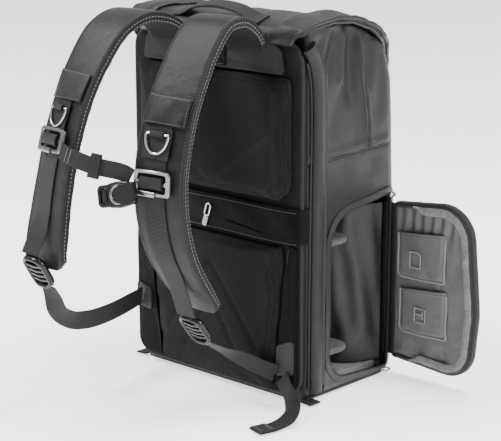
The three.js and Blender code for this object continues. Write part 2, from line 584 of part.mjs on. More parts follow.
// The strap's rows, and its frames along the front found by height
function strapLine(s) {
  const last = s.line.length - 1;
  const x = s.side * strap.centre;
  const rows = s.line.map(({ out, up, drift, turn }, i) => {
    const angle = THREE.MathUtils.degToRad(strap.turn * turn * s.side);
    return {
      at: onBack(x + drift, out, up), across: [Math.cos(angle), Math.sin(angle), 0],
      thick: thinRoot[i] ?? (i === last ? tipShares.thick : 1), wide: i === last ? tipShares.wide : 1,
    };
  });
  const fine = framesAlong(rows, 240);
  const top = fine.reduce((best, f, i) => (f.at.z > fine[best].at.z ? i : best), 0);
  const at = (up) => fine.slice(top).reduce((best, f) =>
    (Math.abs(f.at.z - up * bag.height) < Math.abs(best.at.z - up * bag.height) ? f : best));
  const run = (from, to, steps) =>
    Array.from({ length: steps + 1 }, (_, n) => at(THREE.MathUtils.lerp(from, to, n / steps)));
  return { rows, at, run, tipX: x + s.line[last].drift };
}

// The long webbing on the strap's face, which leaves it for the ladder lock
function strapRail(s, { run, tipX }) {
  const leave = s.tip[0].up + 0.035;
  const rows = run(s.heights.rail, leave, 12).map((f) => ({
    at: f.at.clone().addScaledVector(f.across, strap.railShift).toArray(), across: f.across.toArray(),
  }));
  const tip = s.tip.map(({ out, up }) => ({ at: onBack(tipX + strap.railShift, out, up), across: [1, 0, 0] }));
  return strip([...rows, ...tip], 26, strap.railWide, strap.webThick, 0, railLift + strap.webThick);
}

// The patch of cloth over the rail's upper end
function strapCover(s, { run }) {
  const low = s.heights.cover - strap.coverHigh / bag.height;
  const section = stripSection(strap.wide - 2 * strap.coverInset, strap.coverThick, 0);
  return loft(run(s.heights.cover, low, 3).map((f) =>
    section.map(([a, o]) => placed(f, a, o + railTop + strap.coverThick))));
}

const ringHole = ring.wire / 2 + ring.swing;
const loopHalf = ringHole + ring.loopWall;
// The webbing loop that holds the ring's bar: a short block with a bore along X
function ringLoop() {
  const tunnel = barX(box2(2 * loopHalf, 2 * loopHalf, 1.5), -ring.loopWide / 2, ring.loopWide / 2);
  const circle = Array.from({ length: 12 }, (_, n) =>
    new THREE.Vector2(ringHole, 0).rotateAround(new THREE.Vector2(), (n * Math.PI) / 6));
  return cut(tunnel, barX(circle, -ring.loopWide, ring.loopWide));
}
// The D-ring, its bar along X and its bow hanging down until it lies on the strap
function dRing() {
  const half = (ring.wide - ring.wire) / 2;
  const drop = ring.drop - ring.wire / 2 - ring.shoulder;
  const bow = Array.from({ length: 9 }, (_, n) => {
    const angle = -(Math.PI * (n + 0.6)) / 9.2;
    return [half * Math.cos(angle), drop * Math.sin(angle) * 0.95 - ring.shoulder, 0];
  });
  const bar = [[-half + ring.shoulder, 0, 0], [half - ring.shoulder, 0, 0], [half, -ring.shoulder, 0]];
  const rest = Math.asin((loopHalf - ring.wire / 2 - gap) / ring.drop);
  return loopBar([...bar, ...bow, [-half, -ring.shoulder, 0]], ring.wire / 2, 8).rotateX(rest);
}
// The metal frame: a bar across its middle between two slots
function frameBuckle() {
  const slotHigh = (frame.high - 3 * frame.bar) / 2;
  return buckle(box2(frame.wide, frame.high, frame.corner), [-1, 1].map((k) =>
    box2(frame.wide - 2 * frame.bar, slotHigh, 1.5, 0, (k * (slotHigh + frame.bar)) / 2)), frame.thick,
  frame.bevel);
}
const lockSlots = [-0.283, 0, 0.261]; // of the lock's length, from its middle
const ladderLock = () => buckle(box2(ladder.wide, ladder.long, ladder.corner), lockSlots.map((share) =>
  box2(ladder.wide - 2 * ladder.rim, ladder.slot, 1, 0, share * ladder.long)), ladder.thick, ladder.bevel);

for (const [name, s] of Object.entries(straps)) {
  const line = strapLine(s);
  add("strap_pad_" + name, strip(line.rows, 26, strap.wide, strap.thick, strap.bevel), nylon);
  add("strap_rail_" + name, strapRail(s, line), webbing);
  add("strap_cover_" + name, strapCover(s, line), nylon);
  const ringAt = line.at(s.heights.ring);
  add("ring_loop_" + name, seat(ringLoop(), ringAt, railTop + loopHalf, strap.railShift), webbing);
  add("d_ring_" + name, seat(dRing(), ringAt, railTop + loopHalf, strap.railShift), metal);
  add("frame_buckle_" + name, seat(frameBuckle(), line.at(s.heights.frame), railTop, strap.railShift), metal);
  const along = new THREE.Vector3(...s.lock.along).normalize();
  const across = new THREE.Vector3(1, 0, 0);
  const lockFrame = { at: new THREE.Vector3(...s.lock.at), along, across, out: along.clone().cross(across) };
  add("ladder_lock_" + name, seat(ladderLock(), lockFrame, 0), plastic);
  add("strap_webbing_" + name, strip(s.pull, 12, strap.webbing, strap.webThick), webbing);
  const patch = rounded(s.anchor.map(({ x, up }) => [x, up * bag.height, strap.anchorCorner]));
  add("strap_anchor_" + name, plateXZ(patch, onBoard(wing.thick) - gap - strap.anchorThick, strap.anchorThick),
    nylon);
}
// The right strap's free tail, down to the floor; its last points are heights above the floor in millimetres
const tailRows = [
  { x: 119, out: 9.6, z: 34, across: [0.9, -0.1, 0.35] }, { x: 132, out: 14, z: 23, across: [0.8, -0.2, 0.55] },
  { x: 147, out: 23, z: 14, across: [0.7, 0.1, 0.6] }, { x: 160, out: 38, z: 9.5, across: [0.6, 0.6, 0.4] },
  { x: 167, out: 57, z: 4.6, across: [0.8, 0.6, 0.12] }, { x: 166, out: 77, z: 2.6, across: [1, 0.1, 0] },
  { x: 160, out: 101, z: 2.4, across: [0.97, -0.22, 0] },
];
add("tail_webbing_right", strip(tailRows.map(({ x, out, z, across }) => ({ at: [x, backFace - out, z], across })),
  14, strap.webbing, strap.webThick), webbing);

// The chest strap: webbing from the left frame, its keeper, and the fastened buckle beside the right frame
const chestRows = [
  onBack(-57.6, 195.2, 0.68), onBack(-41, 194, 0.669), onBack(-20, 187, 0.655), onBack(-3, 180.5, 0.649),
  onBack(21, 170.6, 0.641), onBack(30.6, 166.8, 0.631),
].map((at) => ({ at, across: [-0.1, 0.1, 1] }));
add("chest_webbing", strip(chestRows, 10, strap.webbing, strap.webThick), webbing);
// The keeper is a sleeve round the webbing over a short run of fine steps
const keeperRun = framesAlong(chestRows, 60).slice(27, 36);
function sleeve(wide, thick, rows) {
  const lift = (thick - strap.webThick) / 2;
  return loft(rows.map((f) => stripSection(wide, thick, 0).map(([a, o]) => placed(f, a, o + lift))));
}
add("chest_keeper", cut(sleeve(chest.keeperWide, chest.keeperThick, keeperRun.slice(1, -1)),
  sleeve(strap.webbing + 4 * gap, strap.webThick + 2 * gap, keeperRun)), binding);
const buckleAcross = new THREE.Vector3(1, 0.3, 0.3).normalize();
const buckleAlong = new THREE.Vector3(0.25, -0.1, -1);
buckleAlong.addScaledVector(buckleAcross, -buckleAlong.dot(buckleAcross)).normalize();
const buckleFrame = {
  at: new THREE.Vector3(...onBack(20, 175.4, 0.5866)), across: buckleAcross, along: buckleAlong,
  out: buckleAlong.clone().cross(buckleAcross),
};
const buckleSlot = box2(9, 16, 1.5, -16, 0);
add("chest_buckle", seat(buckle(box2(chest.buckleLong, chest.buckleWide, 5), [buckleSlot], chest.buckleThick,
  chest.bevel), buckleFrame, 0), plastic);

// Pulls: slender loops of cord or metal on the zips
const slotLoop = (wide, high, x, y, z, wire) =>
  loopBar(box2(wide, high, wide / 2 - 0.01, x, z).map((p) => [p.x, y, p.y]), wire, 6, [0, 1, 0]);
const pullTab = plateXZ(box2(pull.tabWide, pull.tabLong, 1.5, 0, -pull.tabLong), -pull.tabThick / 2, pull.tabThick);
add("back_zip_pull", join(slotLoop(6, 15, 0, 0, -1, pull.wire), pullTab)
  .rotateY(THREE.MathUtils.degToRad(-pull.lean))
  .translate(pull.across, backFace - band.stand - 2 * gap - pull.wire, band.bottom + pull.up), metal);
add("side_zip_loop", slotLoop(sideLoop.wide, sideLoop.high, -halfWidth - gap - sideLoop.wire - sideLoop.wide / 2,
  backFace + sideLoop.inset, sideLoop.middle, sideLoop.wire), metal);
const onRim = halfWidth + 2 * gap + doorway.rimThick;
const slider = { wide: 6, long: 12, corner: 2, thick: 5, inset: 6 }; // from the doorway's upper front corner
add("door_zip_slider", slab(box2(slider.wide, slider.long, slider.corner, onRim + slider.wide / 2,
  doorway.front - slider.inset), doorway.frontHigh - slider.thick, slider.thick), metal);
const doorPull = { wide: 8, high: 13, inset: 14, up: -1.5 }; // from the doorway's lower front corner
const rimFoot = halfWidth * bodySections[1].side + gap + doorway.rimThick;
add("door_zip_pull", slotLoop(doorPull.wide, doorPull.high, rimFoot + 2 * gap + pull.wire + doorPull.wide / 2,
  doorway.front - doorPull.inset, doorway.frontLow + doorPull.up, pull.wire), metal);

// Webbing loops at the foot of the bag: how far they stand out and their height
const footRows = [{ out: -3.6, z: 3.6 }, { out: 4, z: 3.2 }, { out: 13, z: 2.6 }];
for (const [name, side] of [["right", 1], ["left", -1]])
  add("foot_loop_" + name, strip(footRows.map(({ out, z }) => ({
    at: [side * (halfWidth + out), backFace + footLoop.inset, z], across: [0, -side, 0],
  })), 4, footLoop.wide, footLoop.thick), webbing);

export default part;
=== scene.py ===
"""Camera backpack with its side door folded open: the cloth, padding, webbing and metal over the
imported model.

Lengths are millimetres until a mesh is written. +Z is up, the harness faces -Y and the open door is on +X.
"""
import math

import bpy
import numpy as np
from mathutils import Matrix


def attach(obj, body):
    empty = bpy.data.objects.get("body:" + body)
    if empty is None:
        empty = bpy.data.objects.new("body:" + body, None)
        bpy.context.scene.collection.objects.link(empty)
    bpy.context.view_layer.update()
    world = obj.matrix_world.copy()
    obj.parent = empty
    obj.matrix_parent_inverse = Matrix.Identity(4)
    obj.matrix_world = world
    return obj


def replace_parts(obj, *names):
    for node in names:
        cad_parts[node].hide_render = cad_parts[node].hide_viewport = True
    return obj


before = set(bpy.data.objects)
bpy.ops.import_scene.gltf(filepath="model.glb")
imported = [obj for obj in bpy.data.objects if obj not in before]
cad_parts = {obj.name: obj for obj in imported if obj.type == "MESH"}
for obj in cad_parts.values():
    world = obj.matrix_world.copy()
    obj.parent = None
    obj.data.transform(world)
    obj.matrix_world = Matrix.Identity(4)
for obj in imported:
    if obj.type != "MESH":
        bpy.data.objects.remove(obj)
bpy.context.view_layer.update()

# Camera, at the photograph's angle
TARGET = np.array([-29.5, 0.0, 185.5])
AZIMUTH, ELEVATION, DISTANCE = math.radians(43.0), math.radians(13.5), 2030.0
LENS = 113.39


def place_camera():
    """The camera looks at the target from DISTANCE away, round by AZIMUTH from -Y towards +X, up by
    ELEVATION."""
    data = bpy.data.cameras.new("camera")
    data.lens, data.sensor_width = LENS, 36.0
    camera = bpy.data.objects.new("camera", data)
    bpy.context.scene.collection.objects.link(camera)
    away = np.array([math.sin(AZIMUTH) * math.cos(ELEVATION), -math.cos(AZIMUTH) * math.cos(ELEVATION),
                     math.sin(ELEVATION)])
    camera.location = (TARGET + DISTANCE * away) / 1000
    camera.rotation_euler = (math.pi / 2 - ELEVATION, 0, AZIMUTH)
    bpy.context.scene.camera = camera


place_camera()

# Main sizes, as in the part's source
HALF_WIDTH, HEIGHT = 139.0, 462.0
BACK, FRONT = -95.0, 95.0
SHELL_BACK = -82.65
GAP = 0.35
BAG = "bag"


# Curves and surfaces
def unit(v):
    return v / np.maximum(np.linalg.norm(v, axis=-1, keepdims=True), 1e-9)


def ease(t):
    """Smooth step: 0 below 0, 1 above 1, 3t^2 - 2t^3 between."""
    t = np.clip(t, 0, 1)
    return t * t * (3 - 2 * t)


def bell(distance, width):
    """exp(-(distance / width)^2)"""
    return np.exp(-((distance / width) ** 2))


def curve(points, count, closed=False):
    """Centripetal Catmull-Rom line through the points, at count equal steps of its length."""
    p = np.asarray(points, float)
    if closed:
        p = np.vstack([p[-1:], p, p[:2]])
    else:
        p = np.vstack([2 * p[:1] - p[1:2], p, 2 * p[-1:] - p[-2:-1]])
    p0, p1, p2, p3 = p[:-3], p[1:-2], p[2:-1], p[3:]
    d0, d1, d2 = (np.linalg.norm(b - a, axis=1, keepdims=True) ** 0.5 + 1e-9
                  for a, b in ((p0, p1), (p1, p2), (p2, p3)))
    t1 = ((p1 - p0) / d0 - (p2 - p0) / (d0 + d1) + (p2 - p1) / d1) * d1
    t2 = ((p2 - p1) / d1 - (p3 - p1) / (d1 + d2) + (p3 - p2) / d2) * d1
    u = np.linspace(0, 1, 24, endpoint=False)[:, None, None]
    dense = (p1 * (2 * u**3 - 3 * u**2 + 1) + t1 * (u**3 - 2 * u**2 + u)
             + p2 * (3 * u**2 - 2 * u**3) + t2 * (u**3 - u**2))
    dense = np.vstack([dense.transpose(1, 0, 2).reshape(-1, p.shape[1]), p2[-1:]])
    return even(dense, count, closed)


def even(line, count, closed=False):
    """The same line at count equal steps of its length. A closed line's last point is left out."""
    at = np.concatenate([[0], np.cumsum(np.linalg.norm(np.diff(line, axis=0), axis=1))])
    want = np.linspace(0, at[-1], count + 1)[:-1] if closed else np.linspace(0, at[-1], count)
    return np.stack([np.interp(want, at, line[:, k]) for k in range(line.shape[1])], 1)


def length_of(line, closed=False):
    line = np.vstack([line, line[:1]]) if closed else line
    return float(np.linalg.norm(np.diff(line, axis=0), axis=1).sum())


def frames(line, across, closed=False):
    """For each point: along, the line's direction; across, made square to it; out = along x across."""
    if closed:
        along = unit(np.roll(line, -1, 0) - np.roll(line, 1, 0))
    else:
        along = unit(np.gradient(line, axis=0))
    across = np.broadcast_to(np.asarray(across, float), line.shape)
    across = unit(across - along * (across * along).sum(1, keepdims=True))
    return along, across, np.cross(along, across)


def sweep(line, across, profile, closed=False):
    """A profile of (across, out) pairs carried along a line: point = line + a * across + o * out."""
    _, side, out = frames(line, across, closed)
    profile = np.asarray(profile, float)
    if profile.ndim == 2:
        profile = np.broadcast_to(profile, (len(line),) + profile.shape)
    return line[:, None] + profile[..., :1] * side[:, None] + profile[..., 1:] * out[:, None]


def oval(wide, high, count=16, centre=(0, 0), power=2.0):
    """A closed superellipse: |2a / wide|^power + |2o / high|^power = 1."""
    t = np.arange(count) * 2 * np.pi / count
    c, s = np.cos(t), np.sin(t)
    bend = 2 / power
    return np.stack([centre[0] + wide / 2 * np.sign(c) * np.abs(c) ** bend,
                     centre[1] + high / 2 * np.sign(s) * np.abs(s) ** bend], 1)


def rounded(corners, step=4.0):
    """A closed outline of (u, v) pairs every step or so, with an arc of each corner's own radius."""
    corners = np.asarray(corners, float)
    pieces = []
    for i, (u, v, radius) in enumerate(corners):
        corner = np.array([u, v])
        back = unit(corners[i - 1, :2] - corner)
        ahead = unit(corners[(i + 1) % len(corners), :2] - corner)
        half = math.acos(np.clip(back @ ahead, -1, 1)) / 2
        if radius < 0.1 or half > 1.55:
            pieces.append(corner[None])
            continue
        reach = radius / math.tan(half)
        centre = corner + unit(back + ahead) * radius / math.sin(half)
        start, end = corner + back * reach - centre, corner + ahead * reach - centre
        turn = math.atan2(start[0] * end[1] - start[1] * end[0], start @ end)
        angle = np.linspace(0, turn, 9)[:, None]
        pieces.append(centre + start * np.cos(angle) + np.array([-start[1], start[0]]) * np.sin(angle))
    line = np.vstack(pieces)
    return even(np.vstack([line, line[:1]]), max(int(length_of(line, True) / step), 8), True)


# Meshes
def grid(rows, cols, wrap_rows=False, wrap_cols=False):
    """The quads of a grid, and for each corner its row and column before wrapping."""
    i, j = np.meshgrid(np.arange(rows - (not wrap_rows)), np.arange(cols - (not wrap_cols)), indexing="ij")
    ri = np.stack([i, i, i + 1, i + 1], -1).reshape(-1, 4)
    rj = np.stack([j, j + 1, j + 1, j], -1).reshape(-1, 4)
    return (ri % rows) * cols + rj % cols, ri, rj


def mesh(name, points, faces, finishes, uv=None, zone=None, sharp=40, body=BAG):
    """Writes points (mm) and faces, an array or a list of arrays, as a shaded mesh that rides on a body."""
    faces = [f for f in (faces if isinstance(faces, list) else [faces]) if len(f)]
    data = bpy.data.meshes.new(name)
    loops = np.concatenate([f.ravel() for f in faces]).astype(np.int32)
    totals = np.concatenate([np.full(len(f), f.shape[1]) for f in faces]).astype(np.int32)
    data.vertices.add(len(points))
    data.vertices.foreach_set("co", (np.asarray(points, float) / 1000).ravel())
    data.loops.add(len(loops))
    data.loops.foreach_set("vertex_index", loops)
    data.polygons.add(len(totals))
    data.polygons.foreach_set("loop_start", np.concatenate([[0], np.cumsum(totals)[:-1]]).astype(np.int32))
    data.polygons.foreach_set("loop_total", totals)
    data.polygons.foreach_set("use_smooth", np.ones(len(totals), bool))
    for f in finishes if isinstance(finishes, (list, tuple)) else [finishes]:
        data.materials.append(f)
    if zone is not None:
        data.polygons.foreach_set("material_index", np.asarray(zone, np.int32))
    if uv is not None:
        layer = data.uv_layers.new(name="cloth")
        layer.data.foreach_set("uv", np.asarray(uv, float).ravel())
    data.update(calc_edges=True)
    data.validate()
    if sharp:
        data.set_sharp_from_angle(angle=math.radians(sharp))
    piece = bpy.data.objects.new(name, data)
    bpy.context.scene.collection.objects.link(piece)
    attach(piece, body)
    return piece


def enclosed(points, faces):
    """Signed volume within triangles or quads: sum of a . (b x c) / 6 over their triangles."""
    total = 0.0
    for f in faces:
        for k in range(1, f.shape[1] - 1):
            a, b, c = points[f[:, 0]], points[f[:, k]], points[f[:, k + 1]]
            total += float((a * np.cross(b, c)).sum()) / 6
    return total


def surface(name, grid_points, finishes, wrap_rows=False, wrap_cols=False, caps=False, zone=None, flip=False,
            drop=None, sharp=40, body=BAG):
    """A grid of points as a mesh, with its UV map in millimetres along both ways of the grid.

    caps closes the first and last row with one fan each. zone gives a finish for each column, drop the
    quads left out.
    """
    rows, cols = grid_points.shape[:2]
    wide = np.concatenate([grid_points, grid_points[:, :1]], 1) if wrap_cols else grid_points
    tall = np.concatenate([wide, wide[:1]], 0) if wrap_rows else wide
    u = np.concatenate([np.zeros((len(tall), 1)),
                        np.cumsum(np.linalg.norm(np.diff(tall, axis=1), axis=2), 1)], 1)
    u = u - u[:, -1:] / 2
    v = np.concatenate([np.zeros((1, tall.shape[1])),
                        np.cumsum(np.linalg.norm(np.diff(tall, axis=0), axis=2), 0)], 0)
    v = np.broadcast_to(v.mean(1, keepdims=True), u.shape)
    faces, ri, rj = grid(rows, cols, wrap_rows, wrap_cols)
    uv = np.stack([u[ri, rj], v[ri, rj]], -1)
    material = None if zone is None else np.asarray(zone)[rj[:, 0] % len(zone)]
    if drop is not None:
        keep = ~np.asarray(drop).ravel()
        faces, uv = faces[keep], uv[keep]
        material = None if material is None else material[keep]
    points = grid_points.reshape(-1, 3)
    groups, maps = [faces], [uv.reshape(-1, 2)]
    if caps:
        for row, turn in ((0, 1), (rows - 1, -1)):
            ring = row * cols + np.arange(cols)
            middle = points[ring].mean(0)
            points = np.vstack([points, middle])
            fan = np.stack([np.full(cols, len(points) - 1), np.roll(ring, -1), ring], 1)[:, ::turn]
            groups.append(fan)
            maps.append(np.zeros((fan.size, 2)))
            if material is not None:
                material = np.concatenate([material, np.full(cols, material[0])])
    closed = wrap_cols and (caps or wrap_rows)
    if (closed and enclosed(points, groups) < 0) or flip:
        groups = [g[:, ::-1] for g in groups]
        maps = [m.reshape(-1, g.shape[1], 2)[:, ::-1].reshape(-1, 2) for m, g in zip(maps, groups)]
    return mesh(name, points, groups, finishes, np.vstack(maps), material, sharp, body)


def tube(name, line, radius, finish, sides=8, closed=False, across=(0, 0, 1), body=BAG):
    """A round bar: circles of a radius, one for all or one for each point, along a line."""
    t = np.arange(sides) * 2 * np.pi / sides
    ring = np.stack([np.cos(t), np.sin(t)], 1)[None] * np.broadcast_to(radius, (len(line),))[:, None, None]
    return surface(name, sweep(line, across, ring, closed), finish, wrap_rows=closed, wrap_cols=True,
                   caps=not closed, sharp=60, body=body)


def bars(name, starts, ends, normals, size, finish, body=BAG):
    """Many short threads: for each start and end, a four-sided bead that is thin at both ends."""
    along = ends - starts
    side = unit(np.cross(along, normals))
    up = unit(np.cross(side, along))
    t = np.arange(4) * np.pi / 2
    share = np.array([0.0, 0.18, 0.82, 1.0])
    fat = np.array([0.35, 1.0, 1.0, 0.35])
    ring = fat[:, None, None] * (np.cos(t)[None, :, None] * side[:, None, None] * size[0]
                                 + np.sin(t)[None, :, None] * up[:, None, None] * size[1])
    points = starts[:, None, None] + share[:, None, None] * along[:, None, None] + ring
    sides = len(t)
    one, _, _ = grid(len(share), sides, wrap_cols=True)
    base = np.arange(len(starts))[:, None, None] * len(share) * sides
    faces = (one[None] + base).reshape(-1, 4)
    last = (len(share) - 1) * sides
    ends_of = np.concatenate([(np.arange(sides)[::-1][None, None] + base).reshape(-1, sides),
                              (last + np.arange(sides)[None, None] + base).reshape(-1, sides)])
    points = points.reshape(-1, 3)
    groups = [faces, ends_of]
    if enclosed(points, groups) < 0:
        groups = [g[:, ::-1] for g in groups]
    return mesh(name, points, groups, finish, sharp=0, body=body)


def stitches(name, line, normals, finish, pitch=3.6, share=0.68, size=(0.42, 0.34), closed=False, body=BAG):
    """Running stitches along a line, one each pitch, each covering a share of it."""
    total = length_of(line, closed)
    count = max(int(total / pitch), 2)
    line = np.vstack([line, line[:1]]) if closed else line
    normals = np.broadcast_to(np.asarray(normals, float), (len(line) - closed, 3))
    normals = np.vstack([normals, normals[:1]]) if closed else normals
    along = np.concatenate([[0], np.cumsum(np.linalg.norm(np.diff(line, axis=0), axis=1))])

    def at(s, values):
        return np.stack([np.interp(s, along, values[:, k]) for k in range(3)], 1)

    first = np.arange(count) * total / count
    up = at(first, normals)
    lift = unit(up) * size[1] * 0.3
    last = first + share * total / count
    return bars(name, at(first, line) + lift, at(last, line) + lift, up, size, finish, body)


def wall(piece, thick, side=-1.0):
    """Gives a sheet its thickness with a live Solidify."""
    solid = piece.modifiers.new("thickness", "SOLIDIFY")
    solid.thickness, solid.offset = thick / 1000, side
    solid.use_even_offset = False
    return piece


def refine(piece, levels=1):
    smooth = piece.modifiers.new("smooth", "SUBSURF")
    smooth.levels = smooth.render_levels = levels
    return piece


# Finishes
class Field:
    """A number that changes over a surface: one socket, whose operators add Math nodes."""

    def __init__(self, finish, socket):
        self.finish, self.socket = finish, socket

    def __add__(self, other):
        return self.finish.math("ADD", self, other)

    def __sub__(self, other):
        return self.finish.math("SUBTRACT", self, other)

    def __rsub__(self, other):
        return self.finish.math("SUBTRACT", other, self)

    def __mul__(self, other):
        return self.finish.math("MULTIPLY", self, other)

    def __pow__(self, other):
        return self.finish.math("POWER", self, other)

    __radd__, __rmul__ = __add__, __mul__

    def sin(self):
        return self.finish.math("SINE", self)

    def abs(self):
        return self.finish.math("ABSOLUTE", self)


class Finish:
    """A material around one Principled shader."""

    def __init__(self, name, color, roughness, metallic=0.0, **fixed):
        self.material = bpy.data.materials.new(name)
        self.material.use_nodes = True
        self.tree = self.material.node_tree
        self.shader = self.tree.nodes["Principled BSDF"]
        self.color = (*color, 1.0)
        self.set("Base Color", self.color)
        self.set("Roughness", roughness)
        self.set("Metallic", metallic)
        for key, value in fixed.items():
            self.set(key.replace("_", " "), value)

    def set(self, name, value):
        self.connect(self.shader.inputs[name], value)

    def connect(self, socket, value):
        if isinstance(value, Field):
            value = value.socket
        if isinstance(value, bpy.types.NodeSocket):
            self.tree.links.new(value, socket)
        else:
            socket.default_value = value

    def node(self, kind, settings=None, **values):
        """Any node: its settings first, then the values or links of its sockets, by name or by _number."""
        made = self.tree.nodes.new("ShaderNode" + kind)
        for key, value in (settings or {}).items():
            setattr(made, key, value)
        for key, value in values.items():
            socket = made.inputs[int(key[1:])] if key[0] == "_" else made.inputs[key.replace("_", " ")]
            self.connect(socket, value)
        return made

    def math(self, operation, *values):
        made = self.node("Math", {"operation": operation}, **{f"_{i}": v for i, v in enumerate(values)})
        return Field(self, made.outputs[0])

    def place(self):
        """The object's own coordinates, in metres."""
        return self.node("TexCoord").outputs["Object"]

    def weave_axes(self):
        """The surface's two ways, in millimetres."""
        parts = self.node("SeparateXYZ", _0=self.node("TexCoord").outputs["UV"])
        return Field(self, parts.outputs[0]), Field(self, parts.outputs[1])

    def noise(self, size, detail=2.0, at=None, stretch=None):
        """Noise between 0 and 1, its grains about size millimetres across."""
        at = at or self.place()
        if stretch:
            at = self.node("Mapping", Vector=at, Scale=stretch).outputs[0]
        made = self.node("TexNoise", Vector=at, Scale=1000.0 / size, Detail=detail, Roughness=0.6)
        return Field(self, made.outputs["Fac"])

    def ramp(self, value, stops):
        """A value spread over colours: stops are (place, grey or colour)."""
        made = self.node("ValToRGB", Fac=value)
        band = made.color_ramp
        for i, (place, color) in enumerate(stops):
            stop = band.elements[i] if i < 2 else band.elements.new(place)
            stop.position = place
            stop.color = (color, color, color, 1) if isinstance(color, float) else (*color, 1)
        return made.outputs[0]

    def shade(self, value, dark, light):
        """The base colour times dark where the value is 0, up to light where it is 1."""
        low = tuple(c * dark for c in self.color[:3])
        high = tuple(c * light for c in self.color[:3])
        self.set("Base Color", self.ramp(value, [(0.0, low), (1.0, high)]))

    def relief(self, height, depth, strength=1.0):
        """Bump: height from 0 to 1 stands for depth in millimetres."""
        made = self.node("Bump", Strength=strength, Distance=depth / 1000, Height=height)
        self.set("Normal", made.outputs["Normal"])


def cloth_bumps(finish, pitch, across=1.0):
    """Plain weave: |sin(pi u / pitch)| times across, plus |sin(pi v / pitch)|, halved."""
    u, v = finish.weave_axes()
    turn = math.pi / pitch
    return ((u * turn).sin().abs() * across + (v * turn).sin().abs()) * 0.5


def coated_nylon(name="coated_nylon", color=(0.008, 0.008, 0.0088), roughness=0.42, shine=0.24):
    """Tight nylon with a thin coating: a fine plain weave under slow creases, its shine broken up by both,
    with shade painted into its colour.
    """
    f = Finish(name, color, roughness, Sheen_Weight=0.05, Sheen_Roughness=0.4, Specular_IOR_Level=shine)
    crease = f.noise(24, 4)
    # Painted shade: the colour darkens where the crease bump sinks, and a slow 60 mm mottle paints soft
    # shading over the cloth.
    f.shade(f.noise(60, 3) * 0.5 + crease * 0.5, 0.6, 1.5)
    f.set("Roughness", f.noise(9, 2) * 0.16 + (roughness - 0.08))
    f.relief(cloth_bumps(f, 0.9) * 0.1 + crease * 0.9, 2.4, 0.55)
    return f.material


def air_mesh():
    """Knitted spacer mesh: small round cells over foam, with shade painted inside each and highlight painted
    on their rims.
    """
    f = Finish("air_mesh", (0.0045, 0.0045, 0.005), 0.85, Sheen_Weight=0.02, Specular_IOR_Level=0.06)
    cells = f.node("TexVoronoi", {"feature": "F1"}, Vector=f.place(), Scale=1000 / 2.4, Randomness=0.25)
    depth = Field(f, cells.outputs["Distance"])
    # Painted shade and highlight: the colour follows the cell bump, dark in each hollow and light on the
    # rims, with uneven tone from the noise.
    f.shade(depth * 1.1 + f.noise(30, 3) * 0.3, 0.25, 3.4)
    f.relief(depth, 1.1, 0.9)
    return f.material


def woven_webbing(name="woven_webbing", color=(0.009, 0.009, 0.01)):
    """Webbing: ribs across it, 1.7 mm apart, over fine warp threads, with shade painted between them."""
    f = Finish(name, color, 0.55, Sheen_Weight=0.03, Specular_IOR_Level=0.16)
    u, v = f.weave_axes()
    ribs = (v * (math.pi / 1.7)).sin().abs()
    warp = (u * (math.pi / 1.1)).sin().abs()
    # Painted shade: the colour darkens between the ribs and warp threads, where the bump sinks; the noise
    # adds uneven tone.
    f.shade(ribs * 0.5 + warp * 0.3 + f.noise(18, 2) * 0.35, 0.4, 2.0)
    f.relief(ribs * 0.6 + warp * 0.4, 0.7, 0.9)
    return f.material


def edge_tape():
    f = Finish("edge_tape", (0.008, 0.008, 0.009), 0.6, Sheen_Weight=0.04, Specular_IOR_Level=0.2)
    _, v = f.weave_axes()
    ribs = (v * (math.pi / 1.4)).sin().abs()
    # Painted shade: darker between the ribs, where the bump sinks, with uneven tone from the noise.
    f.shade(ribs * 0.6 + f.noise(8, 2) * 0.4, 0.6, 1.7)
    f.relief(ribs, 0.4, 0.6)
    return f.material


def zip_teeth():
    """Coil zip: teeth across the tape, 1.9 mm apart, with shade painted between them."""
    f = Finish("zip_teeth", (0.009, 0.009, 0.01), 0.4, Specular_IOR_Level=0.35)
    _, v = f.weave_axes()
    teeth = (v * (math.pi / 1.9)).sin().abs()
    # Painted shade: the colour darkens between the teeth, where the bump sinks.
    f.shade(teeth, 0.35, 2.2)
    f.relief(teeth, 0.7, 0.9)
    return f.material


def brushed_felt(name, color, dark=0.5, light=1.55, size=2.2):
    """Heather felt: pale and dark fibres mixed at two scales."""
    f = Finish(name, color, 0.95, Sheen_Weight=0.08, Sheen_Roughness=0.6, Specular_IOR_Level=0.15)
    fibres = f.noise(size, 4)
    f.set("Base Color", f.ramp(fibres * 0.75 + f.noise(14, 3) * 0.25, [
        (0.3, tuple(c * dark for c in color)), (0.7, tuple(c * light for c in color))]))
    f.relief(fibres, 0.9, 0.6)
    return f.material


def satin(name, color, roughness=0.4):
    """Thin lining cloth with a soft shine and small wrinkles, with fold shading painted into its colour."""
    f = Finish(name, color, roughness, Sheen_Weight=0.04, Specular_IOR_Level=0.45)
    wrinkles = f.noise(15, 4)
    # Painted shade: the colour darkens in the hollows of the wrinkle bump and in a slow 34 mm mottle that
    # paints soft fold shading.
    f.shade(f.noise(34, 3) * 0.6 + wrinkles * 0.4, 0.45, 1.6)
    f.relief(wrinkles * 0.9 + cloth_bumps(f, 0.8) * 0.1, 2.8, 0.7)
    return f.material


def moulded(name, color, roughness=0.3, grain=0.12):
    f = Finish(name, color, roughness, Specular_IOR_Level=0.3, Coat_Weight=0.05, Coat_Roughness=0.2)
    f.set("Roughness", f.noise(3, 2) * grain + (roughness - grain / 2))
    f.relief(f.noise(0.8, 2), 0.06, 0.4)
    return f.material


def metal(name, color, roughness=0.28, wear=0.2):
    f = Finish(name, color, roughness, 1.0)
    f.set("Roughness", f.noise(5, 3, stretch=(1, 1, 6)) * wear + (roughness - wear / 2))
    f.shade(f.noise(7, 3), 0.78, 1.15)
    f.relief(f.noise(1.2, 2), 0.05, 0.3)
    return f.material


def thread(name, color):
    f = Finish(name, color, 0.75, Sheen_Weight=0.2)
    f.shade(f.noise(1.5, 2), 0.7, 1.3)
    return f.material


